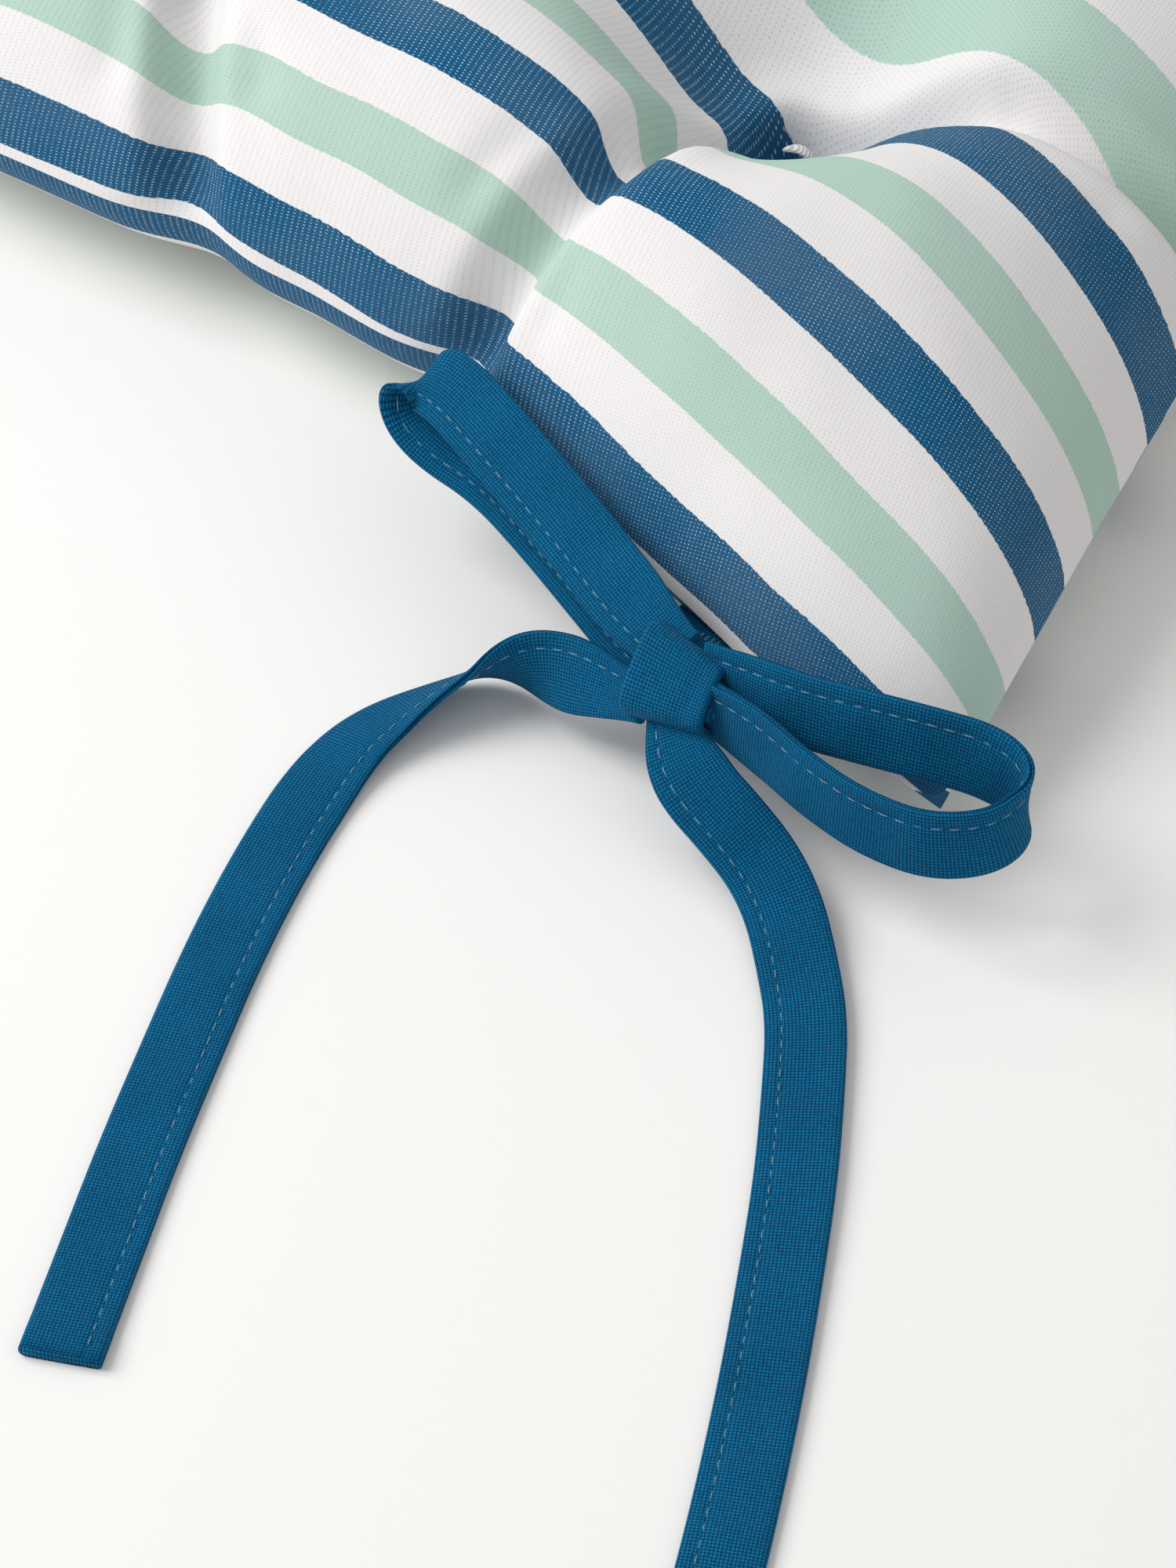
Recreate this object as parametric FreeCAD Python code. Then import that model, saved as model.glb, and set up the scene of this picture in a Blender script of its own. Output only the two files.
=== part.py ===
"""Tufted chair seat pad with a tied bow at each back corner.

The pad is a two-panel cotton cover over three layers of wadding, drawn in by nine tufts.
At each back corner two tapes come out of the seam and are tied in a bow.
+Z is up, +X runs along the edge that carries the ties, +Y points out of that edge.
The origin is the middle of the flat underside. Lengths are in millimetres.
"""
import FreeCAD, Part
import math
import os

V = FreeCAD.Vector

# Pad outline, seen from above
WAIST = 186.0  # centre to seam, at the middle of each side
CORNER_FLARE = 25.0  # how far each corner stands out past the waist, along X and along Y
CORNER_PULL = 15.0  # how much less the flat underside flares at its corners

# Pad section
CROWN_HEIGHT = 63.0  # top of the quilted bulges above the table
SEAM_HEIGHT = 22.0  # seam above the table, at the middle of a side
SEAM_CORNER_DROP = 10.0  # how much lower the seam runs at a corner
UNDERSIDE_INSET = 22.0  # seam in to the edge of the flat underside
CORE_SHARE = 0.4  # share of the bulge above the seam that the core layer takes
FULLNESS_POWER = 6  # higher is flatter on top and steeper at the edge

# Cover cloth
CLOTH = 0.8  # thickness of the woven cotton
RIM_WALL = 1.2  # the same cloth measured level, across the steep side of the pad
ALLOWANCE = 10.0  # cloth turned in at the seam
LAYER_GAP = 0.3  # clearance between a layer of wadding and what is next to it
WADDING_GAP = 0.65  # clearance between the row of seam stitches and the wadding beside it

# Tufts
TUFT_PITCH = 116.0
TUFT_ROWS = 3
TUFT_DEPTH = 38.0  # how far a tuft draws the top down
TUFT_SPREAD = 21.0  # distance over which a top dimple fades
POCKET_DEPTH = 5.0  # how far a tuft draws the underside up
POCKET_FLOOR_RADIUS = 6.0
POCKET_MOUTH_RADIUS = 13.0
TWINE_RADIUS = 0.8
TWINE_HOLE_RADIUS = 1.3
TUFT_STITCH_LENGTH = 7.0
TUFT_STITCH_LIFT = 0.6  # the stitch bridges the bottom of its dimple

# Sewing
STITCHES_PER_SIDE = 24
STITCH_FILL = 0.6  # share of the stitch pitch that thread covers
THREAD_RADIUS = 0.35
STITCH_INSET = 5.0  # seam in to the row of stitches
STITCH_CLEARANCE = 0.1
CLOSING_STITCHES = 12
CLOSING_PITCH = 9.0
CLOSING_LENGTH = 5.0

# Tie tapes
TAPE_WIDTH = 12.0
TAPE_THICKNESS = 1.5
CORD_RADIUS = 1.5  # plain round stand-in drawn along the middle of each free tape
TIE_FROM_CORNER = 42.0  # corner to the middle of the tapes, along the edge
KNOT_STANDOFF = 19.5  # seam to the middle of the knot
KNOT_HEIGHT = 18.0  # middle of the knot above the table
KNOT_SIZE = V(14.0, 12.0, 12.0)
KNOT_ROUNDING = 3.0
ROOT_GAP = 0.5  # clear space between the sewn-in tape ends and the knot
TACK_RADIUS = 0.4
TACK_LENGTH = 4.0
TACK_PITCH = 2.0
TACKS = 5
ARC_SHARE = 0.45  # share of the shorter run that a bend takes on each side of its point

# Free tapes of the left back corner, as points of their middle lines: X and Y from the middle
# of the knot, and the height above the table. The right corner mirrors them.
TAPE_ROUTES = {
    "inner_loop": [
        (7.8, -4.1, 21.5),
        (17.0, -7.9, 22.3),
        (28.5, -12.9, 23.6),
        (41.0, -17.7, 25.0),
        (53.0, -22.1, 26.4),
        (62.5, -24.5, 26.6),
        (67.5, -21.5, 23.8),
        (61.5, -17.9, 21.0),
        (50.0, -16.1, 19.8),
        (36.5, -11.1, 18.6),
        (22.5, -5.3, 17.8),
        (7.8, -0.1, 17.4),
    ],
    "outer_loop": [
        (-7.8, 1.0, 17.4),
        (-17.0, 2.9, 17.6),
        (-27.0, 5.5, 17.0),
        (-38.0, 7.2, 17.1),
        (-49.0, 6.0, 17.6),
        (-57.0, 0.0, 19.0),
        (-57.4, -7.3, 21.4),
        (-50.0, -9.5, 23.0),
        (-39.0, -6.3, 23.6),
        (-28.0, -3.5, 23.3),
        (-18.0, -1.9, 22.3),
        (-7.8, -2.5, 21.3),
    ],
    "inner_tail": [
        (8.1, 2.8, 13.6),
        (17.0, 2.1, 11.8),
        (25.5, 1.7, 9.2),
        (33.0, 4.9, 6.4),
        (37.5, 11.1, 4.0),
        (41.0, 18.5, 2.3),
        (42.5, 27.5, 1.7),
        (40.5, 39.5, 1.6),
        (36.7, 54.5, 1.6),
        (31.3, 71.5, 1.6),
        (24.5, 89.5, 1.6),
        (17.2, 108.5, 1.6),
        (9.4, 127.0, 1.6),
        (2.0, 144.5, 1.6),
    ],
    "outer_tail": [
        (-4.0, 8.7, 13.2),
        (-10.0, 10.4, 11.4),
        (-17.4, 11.7, 8.6),
        (-24.8, 13.5, 5.6),
        (-31.2, 17.3, 3.2),
        (-37.6, 23.5, 2.1),
        (-45.4, 32.0, 1.7),
        (-53.0, 44.0, 1.6),
        (-61.4, 58.0, 1.6),
        (-69.9, 74.0, 1.6),
        (-78.6, 91.0, 1.6),
        (-87.0, 108.5, 1.6),
        (-94.4, 125.0, 1.6),
        (-101.0, 140.5, 1.6),
    ],
}

# Surface nets
NET_SIZE = 41  # control points along each side of the pad
SIDE_ROWS = 9  # rows of control points down the lower side
DEGREE = 3


def spread(count):
    """Positions from -1 to 1 that crowd towards both ends, where the pad curves most."""
    return [math.sin(math.pi * (i / (count - 1) - 0.5)) for i in range(count)]


def seam_level(x, y):
    """Height at (x, y) of the surface that holds the seam."""
    corner = WAIST + CORNER_FLARE
    return SEAM_HEIGHT - SEAM_CORNER_DROP * (x * y / corner ** 2) ** 2


def plan(s, t, inset, flare=CORNER_FLARE):
    """Place in plan of the point (s, t) of the unit square, on a pad drawn in by inset."""
    half = WAIST - inset
    return s * (half + flare * t * t), t * (half + flare * s * s)


def tuft_places():
    """Centres of the tufts in plan."""
    middle = (TUFT_ROWS - 1) / 2
    steps = [(i - middle) * TUFT_PITCH for i in range(TUFT_ROWS)]
    return [(x, y) for y in steps for x in steps]


def dimple(x, y):
    """Depth that the tufts draw the top down at (x, y)."""
    depth = 0.0
    for tuft_x, tuft_y in tuft_places():
        away = (x - tuft_x) ** 2 + (y - tuft_y) ** 2
        depth += TUFT_DEPTH * math.exp(-away / (2 * TUFT_SPREAD ** 2))
    return depth


def bulge(s, t, x, y, share, steep):
    """Height above the seam of a layer that takes share of the bulge."""
    level = (1 - s ** FULLNESS_POWER) * (1 - t ** FULLNESS_POWER)
    edge_fade = math.sqrt(level) if steep else level
    full = (CROWN_HEIGHT - SEAM_HEIGHT) * edge_fade
    return share * (full - dimple(x, y) * level)


def net_surface(net):
    """B-spline surface with the given rows of control points and evenly spaced knots."""
    rows, columns = len(net), len(net[0])
    surface = Part.BSplineSurface()
    knots = []
    for count in (rows, columns):
        spans = count - DEGREE
        multiplicities = [DEGREE + 1] + [1] * (spans - 1) + [DEGREE + 1]
        knots.append((multiplicities, [float(i) for i in range(spans + 1)]))
    (u_mults, u_knots), (v_mults, v_knots) = knots
    surface.buildFromPolesMultsKnots(
        net, u_mults, v_mults, u_knots, v_knots, False, False, DEGREE, DEGREE
    )
    return surface.toShape()


def side_points(side, inset, lift, flare=CORNER_FLARE):
    """Control points of one side of the outline, from one corner to the next."""
    points = []
    for k in spread(NET_SIZE):
        s, t = {"back": (-k, 1), "left": (-1, -k), "front": (k, -1), "right": (1, k)}[side]
        x, y = plan(s, t, inset, flare)
        points.append(V(x, y, seam_level(x, y) + lift))
    return points


def side_curve(points):
    """B-spline curve with the given control points and evenly spaced knots."""
    spans = len(points) - DEGREE
    curve = Part.BSplineCurve()
    multiplicities = [DEGREE + 1] + [1] * (spans - 1) + [DEGREE + 1]
    curve.buildFromPolesMultsKnots(points, multiplicities, [float(i) for i in range(spans + 1)], False, DEGREE)
    return curve.toShape()


SIDES = ("back", "left", "front", "right")


def dome(inset, lift, share, drop, steep=True):
    """Face of a layer's upper surface: it starts at the outline, lift above the seam."""
    net = []
    for s in spread(NET_SIZE):
        row = []
        for t in spread(NET_SIZE):
            x, y = plan(s, t, inset)
            fade = (1 - s ** FULLNESS_POWER) * (1 - t ** FULLNESS_POWER)
            height = seam_level(x, y) + lift + bulge(s, t, x, y, share, steep) - drop * fade
            row.append(V(x, y, height))
        net.append(row)
    return net_surface(net)


def ring(inner_inset, inner_lift, outer_inset, outer_lift):
    """Four strips that join one outline to another."""
    strips = []
    for side in SIDES:
        one = side_curve(side_points(side, inner_inset, inner_lift))
        other = side_curve(side_points(side, outer_inset, outer_lift))
        strips.append(Part.makeRuledSurface(one, other))
    return strips


def underside(inset, lift, floor):
    """Faces of a lower surface: rounded sides from the outline down to a flat bottom at floor."""
    faces = []
    rims = []
    for side in SIDES:
        net = []
        for row in range(SIDE_ROWS):
            turn = math.pi / 2 * row / (SIDE_ROWS - 1)
            drawn_in = 1 - math.cos(turn)
            flare = CORNER_FLARE - CORNER_PULL * drawn_in
            points = side_points(side, inset + UNDERSIDE_INSET * drawn_in, lift, flare)
            net.append([V(p.x, p.y, p.z + (floor - p.z) * math.sin(turn)) for p in points])
        faces.append(net_surface(net))
        rims.append(side_curve(net[-1]))
    faces.append(Part.Face(Part.Wire(rims)))
    return faces


def solid_from(faces):
    """Closed solid bounded by faces that share their edges."""
    shell = Part.Shell(Part.Compound(faces).Faces)
    shell.sewShape()
    solid = Part.Solid(Part.Shell(shell.Faces))
    if solid.Volume < 0:
        solid.reverse()
    return solid


def tuft_columns(radius):
    """Upright cylinders at the tufts, long enough to pass through the whole pad."""
    below = -POCKET_DEPTH
    reach = CROWN_HEIGHT - 2 * below
    columns = [Part.makeCylinder(radius, reach, V(x, y, below)) for x, y in tuft_places()]
    return Part.Compound(columns)


def tuft_pockets(spare):
    """Cones that the tufts leave in the underside, grown outwards by spare."""
    mouth = POCKET_MOUTH_RADIUS + spare
    top = POCKET_FLOOR_RADIUS + spare
    height = POCKET_DEPTH + spare
    return [Part.makeCone(mouth, top, height, V(x, y, 0)) for x, y in tuft_places()]


def top_cover():
    """Upper panel with its seam allowance turned in."""
    faces = [dome(0, 0, 1, 0), dome(RIM_WALL, CLOTH, 1, 2 * CLOTH)]
    faces += ring(0, 0, ALLOWANCE, 0)
    faces += ring(ALLOWANCE, 0, ALLOWANCE, CLOTH)
    faces += ring(ALLOWANCE, CLOTH, RIM_WALL, CLOTH)
    return solid_from(faces).cut(tuft_columns(TWINE_HOLE_RADIUS))


def bottom_cover():
    """Lower panel with its seam allowance turned in and a cup drawn up at each tuft."""
    faces = underside(0, 0, 0) + underside(RIM_WALL, -CLOTH, CLOTH)
    faces += ring(0, 0, ALLOWANCE, 0)
    faces += ring(ALLOWANCE, 0, ALLOWANCE, -CLOTH)
    faces += ring(ALLOWANCE, -CLOTH, RIM_WALL, -CLOTH)
    panel = solid_from(faces).cut(Part.Compound(tuft_pockets(CLOTH)))
    cups = []
    for outer, inner in zip(tuft_pockets(CLOTH), tuft_pockets(0)):
        cups.append(outer.cut(inner))
    return panel.fuse(cups).cut(tuft_columns(TWINE_HOLE_RADIUS))


def wadding_inset():
    """Seam in to the edge of the outer layers of wadding, which stop beside the stitches."""
    return STITCH_INSET + THREAD_RADIUS + WADDING_GAP


def upper_wadding():
    """Soft layer under the top panel."""
    inset = wadding_inset()
    lift = CLOTH + LAYER_GAP
    faces = [dome(inset, lift, 1, 2 * CLOTH + 3 * LAYER_GAP), dome(inset, lift, CORE_SHARE, 0, steep=False)]
    return solid_from(faces).cut(tuft_columns(TWINE_HOLE_RADIUS))


def core_wadding():
    """Firm middle layer, inside the turned-in allowance."""
    inset = ALLOWANCE + LAYER_GAP
    upper = dome(inset, CLOTH, CORE_SHARE, LAYER_GAP, steep=False)
    lower = dome(inset, -CLOTH, 0, 0)
    faces = [upper, lower] + ring(inset, -CLOTH, inset, CLOTH)
    return solid_from(faces).cut(tuft_columns(TWINE_HOLE_RADIUS))


def lower_wadding():
    """Soft layer over the bottom panel."""
    inset = wadding_inset()
    lift = -CLOTH - LAYER_GAP
    faces = [dome(inset, lift, 0, 0)] + underside(inset, lift, CLOTH + LAYER_GAP)
    layer = solid_from(faces).cut(Part.Compound(tuft_pockets(CLOTH + LAYER_GAP)))
    return layer.cut(tuft_columns(TWINE_HOLE_RADIUS))


def level_at(face, x, y):
    """Height at which an upright line through (x, y) meets a face."""
    line = Part.LineSegment(V(x, y, 0), V(x, y, 2 * CROWN_HEIGHT)).toShape()
    return face.distToShape(line)[1][0][0].z


def bar(middle, direction, length, radius):
    """Round bar of thread centred on middle."""
    along = V(direction).normalize()
    return Part.makeCylinder(radius, length, middle - along * (length / 2), along)


def tufting():
    """Twine through the pad, and the stitch that holds it on each face, at every tuft."""
    face = dome(0, 0, 1, 0)
    twines, upper_stitches, lower_stitches = [], [], []
    low = POCKET_DEPTH - TUFT_STITCH_LIFT - TWINE_RADIUS
    for x, y in tuft_places():
        high = level_at(face, x, y) + TUFT_STITCH_LIFT + TWINE_RADIUS
        upper = bar(V(x, y, high), V(1, 0, 0), TUFT_STITCH_LENGTH, TWINE_RADIUS)
        lower = bar(V(x, y, low), V(1, 0, 0), TUFT_STITCH_LENGTH, TWINE_RADIUS)
        twine = Part.makeCylinder(TWINE_RADIUS, high - low, V(x, y, low))
        twines.append(twine.cut(Part.Compound([upper, lower])))
        upper_stitches.append(upper)
        lower_stitches.append(lower)
    return Part.Compound(twines), Part.Compound(upper_stitches), Part.Compound(lower_stitches)


def seam_stitching():
    """Row of thread on the turned-in allowance, all the way round."""
    stitches = []
    height = CLOTH + THREAD_RADIUS + STITCH_CLEARANCE
    for side in SIDES:
        curve = side_curve(side_points(side, STITCH_INSET, height))
        places = curve.discretize(Number=STITCHES_PER_SIDE + 1)
        for start, end in zip(places, places[1:]):
            length = (end - start).Length * STITCH_FILL
            stitches.append(bar((start + end) / 2, end - start, length, THREAD_RADIUS))
    return Part.Compound(stitches)


def closing_stitches():
    """Hand stitches across the front seam, where the pad was filled."""
    stitches = []
    middle = (CLOSING_STITCHES - 1) / 2
    for i in range(CLOSING_STITCHES):
        x = (i - middle) * CLOSING_PITCH
        flare = CORNER_FLARE * (x / WAIST) ** 2
        y = -(WAIST + flare + THREAD_RADIUS + STITCH_CLEARANCE)
        stitches.append(bar(V(x, y, SEAM_HEIGHT), V(1, 0, 0), CLOSING_LENGTH, THREAD_RADIUS))
    return Part.Compound(stitches)


def bend(before, point, after):
    """Arc that rounds the route at point, as large as its two runs allow."""
    back = before - point
    ahead = after - point
    setback = ARC_SHARE * min(back.Length, ahead.Length)
    start = point + back.normalize() * setback
    end = point + ahead.normalize() * setback
    half_angle = back.getAngle(ahead) / 2
    radius = setback * math.tan(half_angle)
    to_centre = (back + ahead).normalize()
    centre = point + to_centre * (setback / math.cos(half_angle))
    return start, centre - to_centre * radius, end, radius


def tape_tube(name, points):
    """Round tube along straight runs joined by tangent arcs."""
    edges = []
    radii = []
    here = points[0]
    for before, point, after in zip(points, points[1:], points[2:]):
        start, middle, end, radius = bend(before, point, after)
        edges.append(Part.LineSegment(here, start).toShape())
        edges.append(Part.Arc(start, middle, end).toShape())
        radii.append(radius)
        here = end
    edges.append(Part.LineSegment(here, points[-1]).toShape())
    path = Part.Wire(edges)
    circle = Part.Circle(points[0], points[1] - points[0], CORD_RADIUS).toShape()
    tube = path.makePipeShell([Part.Wire(circle)], True, False)
    ratio = tube.Volume / (math.pi * CORD_RADIUS ** 2 * path.Length)
    print(f"{name}: length {path.Length:.1f}, tightest bend {min(radii):.1f}, volume ratio {ratio:.4f}")
    return tube


def tie_place():
    """Point of the back seam where the left tapes come out, from the outline's own formula."""
    corner = WAIST + CORNER_FLARE
    x = TIE_FROM_CORNER - corner
    y = WAIST + CORNER_FLARE * (x / corner) ** 2
    return V(x, y, seam_level(x, y))


def knot_centre():
    """Middle of the left knot."""
    tie = tie_place()
    return V(tie.x, tie.y + KNOT_STANDOFF, KNOT_HEIGHT)


def bow_knot():
    """Wrapped knot that the loops and tails come out of."""
    block = Part.makeBox(KNOT_SIZE.x, KNOT_SIZE.y, KNOT_SIZE.z, knot_centre() - KNOT_SIZE / 2)
    return block.makeFillet(KNOT_ROUNDING, block.Edges)


def outline_block():
    """Upright block with the pad's outline, a layer gap larger all round."""
    curves = []
    for side in SIDES:
        curves.append(side_curve([V(p.x, p.y, 0) for p in side_points(side, -LAYER_GAP, 0)]))
    return Part.Face(Part.Wire(curves)).extrude(V(0, 0, CROWN_HEIGHT))


def tie_root(layer):
    """Short end of a tape between the seam and the knot. Layer is 0 for the lower tape, 1 for the upper."""
    tie = tie_place()
    start_y = tie.y - TAPE_WIDTH / 2
    length = KNOT_STANDOFF - KNOT_SIZE.y / 2 - ROOT_GAP + TAPE_WIDTH / 2
    corner = V(tie.x - TAPE_WIDTH / 2, start_y, tie.z + (layer - 1) * TAPE_THICKNESS)
    return Part.makeBox(TAPE_WIDTH, length, TAPE_THICKNESS, corner).cut(outline_block())


def bar_tack():
    """Close stitches across the upper tape end, just outside the seam."""
    tie = tie_place()
    stitches = []
    for i in range(TACKS):
        across = (i - (TACKS - 1) / 2) * TACK_PITCH
        middle = tie + V(across, TACK_LENGTH, TAPE_THICKNESS + TACK_RADIUS)
        stitches.append(bar(middle, V(0, 1, 0), TACK_LENGTH, TACK_RADIUS))
    return Part.Compound(stitches)


def mirrored(shape):
    """The same piece for the right corner."""
    return shape.mirror(V(0, 0, 0), V(1, 0, 0))


def corner_pieces():
    """Pieces of the left bow by name, without the side."""
    pieces = {
        "lower_tie_root": tie_root(0),
        "upper_tie_root": tie_root(1),
        "bar_tack": bar_tack(),
        "bow_knot": bow_knot(),
    }
    knot = knot_centre()
    for name, points in TAPE_ROUTES.items():
        pieces[name] = tape_tube(name, [V(knot.x + x, knot.y + y, z) for x, y, z in points])
    return pieces


def build():
    """All pieces by node name."""
    twines, upper_stitches, lower_stitches = tufting()
    nodes = {
        "top_cover": top_cover(),
        "bottom_cover": bottom_cover(),
        "upper_wadding": upper_wadding(),
        "core_wadding": core_wadding(),
        "lower_wadding": lower_wadding(),
        "tuft_threads": twines,
        "tuft_stitches_top": upper_stitches,
        "tuft_stitches_bottom": lower_stitches,
        "seam_stitching": seam_stitching(),
        "closing_stitches": closing_stitches(),
    }
    for name, piece in corner_pieces().items():
        nodes["left_" + name] = piece
        nodes["right_" + name] = mirrored(piece)
    return nodes


os.makedirs("parts", exist_ok=True)
for node, shape in build().items():
    print(f"{node}: solids {len(shape.Solids)}, valid {shape.isValid()}, volume {shape.Volume:.0f}")
    shape.exportStep(f"parts/{node}.step")
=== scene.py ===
"""Looks of a tufted chair seat pad with a tied bow at each back corner.

The cover is sewn from two flat square panels, blown up by a cloth simulation over nine tufts.
The bows are flat folded tapes that follow given routes. Lengths are in metres, +Z is up,
+X runs along the edge that carries the ties and +Y points out of that edge.
"""
import logging
import math
from dataclasses import dataclass, field
from enum import Enum

import bpy
import numpy as np
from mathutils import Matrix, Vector


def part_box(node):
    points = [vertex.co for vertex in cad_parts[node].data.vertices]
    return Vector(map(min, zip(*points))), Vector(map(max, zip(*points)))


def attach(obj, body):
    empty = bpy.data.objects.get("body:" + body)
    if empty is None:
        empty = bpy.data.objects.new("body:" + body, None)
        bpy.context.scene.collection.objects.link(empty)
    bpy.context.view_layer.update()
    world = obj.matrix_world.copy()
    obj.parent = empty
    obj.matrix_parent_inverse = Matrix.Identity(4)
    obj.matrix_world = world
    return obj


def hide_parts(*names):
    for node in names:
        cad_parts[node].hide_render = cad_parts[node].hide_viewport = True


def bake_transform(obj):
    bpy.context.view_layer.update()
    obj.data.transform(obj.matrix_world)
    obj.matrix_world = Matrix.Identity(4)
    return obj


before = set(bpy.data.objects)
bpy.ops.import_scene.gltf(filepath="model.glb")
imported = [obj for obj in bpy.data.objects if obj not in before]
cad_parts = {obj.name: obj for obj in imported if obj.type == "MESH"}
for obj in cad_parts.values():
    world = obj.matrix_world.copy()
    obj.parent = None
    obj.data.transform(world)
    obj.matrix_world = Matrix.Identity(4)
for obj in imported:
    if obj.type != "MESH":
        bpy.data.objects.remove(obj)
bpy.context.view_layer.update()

LOG = logging.getLogger("seat_pad")
MM = 0.001
MM_PER_METRE = 1000.0

Triple = tuple[float, float, float]
Place = tuple[float, float]
Fold = tuple[Place, Place, float, float]  # start, end, depth and spread
Axes = tuple[np.ndarray, np.ndarray, np.ndarray]  # along, across and through a tape
Socket = bpy.types.NodeSocket
Value = Socket | float


class Side(Enum):
    """Back corner that a bow belongs to. The value is the sign of its X."""

    LEFT = -1
    RIGHT = 1


class Panel(Enum):
    """The two pieces of cloth that the cover is sewn from."""

    TOP = 0
    BOTTOM = 1


class Shader:
    """One material, whose nodes are added by short calls."""

    def __init__(self, name: str) -> None:
        """Starts an empty material.

        Args:
            name: The material's name.
        """
        self.material = bpy.data.materials.new(name)
        self.material.use_nodes = True
        self.nodes = self.material.node_tree.nodes
        self.links = self.material.node_tree.links
        self.surface = self.nodes["Principled BSDF"]

    def set(self, socket: Socket, value: Value | Triple) -> None:
        """Links a socket to another one, or writes a plain value on it.

        Args:
            socket: The input to fill.
            value: An output socket, a number or a colour.
        """
        if isinstance(value, bpy.types.NodeSocket):
            self.links.new(value, socket)
        elif isinstance(value, tuple) and socket.type == "RGBA":
            socket.default_value = (*value, 1.0)
        else:
            socket.default_value = value

    def math(self, operation: str, *values: Value) -> Socket:
        """Adds a Math node.

        Args:
            operation: Blender's name of the operation.
            values: Its inputs, in order.

        Returns:
            The node's output.
        """
        node = self.nodes.new("ShaderNodeMath")
        node.operation = operation
        for socket, value in zip(node.inputs, values):
            self.set(socket, value)
        return node.outputs[0]

    def square(self, value: Value) -> Socket:
        """Multiplies a value, of either sign, by itself."""
        return self.math("POWER", self.math("ABSOLUTE", value), 2.0)

    def smooth(
        self, value: Value, low: float, high: float, start: float = 0.0, end: float = 1.0
    ) -> Socket:
        """Adds a smooth step.

        Args:
            value: The input.
            low: Input at which the step starts.
            high: Input at which it ends.
            start: Output up to low.
            end: Output from high on.

        Returns:
            The stepped value.
        """
        node = self.nodes.new("ShaderNodeMapRange")
        node.interpolation_type = "SMOOTHSTEP"
        names = ("Value", "From Min", "From Max", "To Min", "To Max")
        for name, number in zip(names, (value, low, high, start, end)):
            self.set(node.inputs[name], number)
        return node.outputs["Result"]

    def mix(self, factor: Value, one: Socket | Triple, other: Socket | Triple) -> Socket:
        """Mixes two colours.

        Args:
            factor: 0 gives the first colour and 1 the second.
            one: The first colour.
            other: The second colour.

        Returns:
            The mixed colour.
        """
        node = self.nodes.new("ShaderNodeMix")
        node.data_type = "RGBA"
        self.set(node.inputs[0], factor)
        self.set(node.inputs[6], one)
        self.set(node.inputs[7], other)
        return node.outputs[2]

    def noise(self, where: Socket, scale: float, detail: float = 2.0) -> Socket:
        """Adds noise, from 0 to 1.

        Args:
            where: The place that it is read at.
            scale: How many lumps there are in one unit.
            detail: How many finer layers it has.

        Returns:
            The noise value.
        """
        node = self.nodes.new("ShaderNodeTexNoise")
        self.set(node.inputs["Vector"], where)
        node.inputs["Scale"].default_value = scale
        node.inputs["Detail"].default_value = detail
        return node.outputs["Fac"]

    def cloth_place(self) -> tuple[Socket, Socket, Socket]:
        """Reads the place on the flat cloth.

        Returns:
            The place as a vector in metres, then its two parts in millimetres.
        """
        node = self.nodes.new("ShaderNodeUVMap")
        node.uv_map = "cloth"
        parts = self.nodes.new("ShaderNodeSeparateXYZ")
        self.links.new(node.outputs[0], parts.inputs[0])
        along, across = (self.math("MULTIPLY", part, MM_PER_METRE) for part in parts.outputs[:2])
        return node.outputs[0], along, across

    def object_place(self) -> Socket:
        """Reads the place in the object's own frame, in metres."""
        return self.nodes.new("ShaderNodeTexCoord").outputs["Object"]

    def raise_by(self, height: Socket, strength: float, distance: float) -> None:
        """Turns a height into the bump of the surface.

        Args:
            height: The height, from 0 to 1.
            strength: How much of the bump shows.
            distance: How high 1 is, in metres.
        """
        node = self.nodes.new("ShaderNodeBump")
        node.inputs["Strength"].default_value = strength
        node.inputs["Distance"].default_value = distance
        self.set(node.inputs["Height"], height)
        self.links.new(node.outputs[0], self.surface.inputs["Normal"])

    def finish(self, colour: Socket | Triple, roughness: float, sheen: float) -> bpy.types.Material:
        """Sets the surface's own sockets.

        Args:
            colour: The base colour.
            roughness: The roughness of the fibres.
            sheen: How much loose fibre catches light at grazing angles.

        Returns:
            The finished material.
        """
        self.set(self.surface.inputs["Base Color"], colour)
        self.surface.inputs["Roughness"].default_value = roughness
        self.surface.inputs["Sheen Weight"].default_value = sheen
        self.surface.inputs["Sheen Roughness"].default_value = 0.5
        self.surface.inputs["Specular IOR Level"].default_value = 0.1
        return self.material


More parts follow.
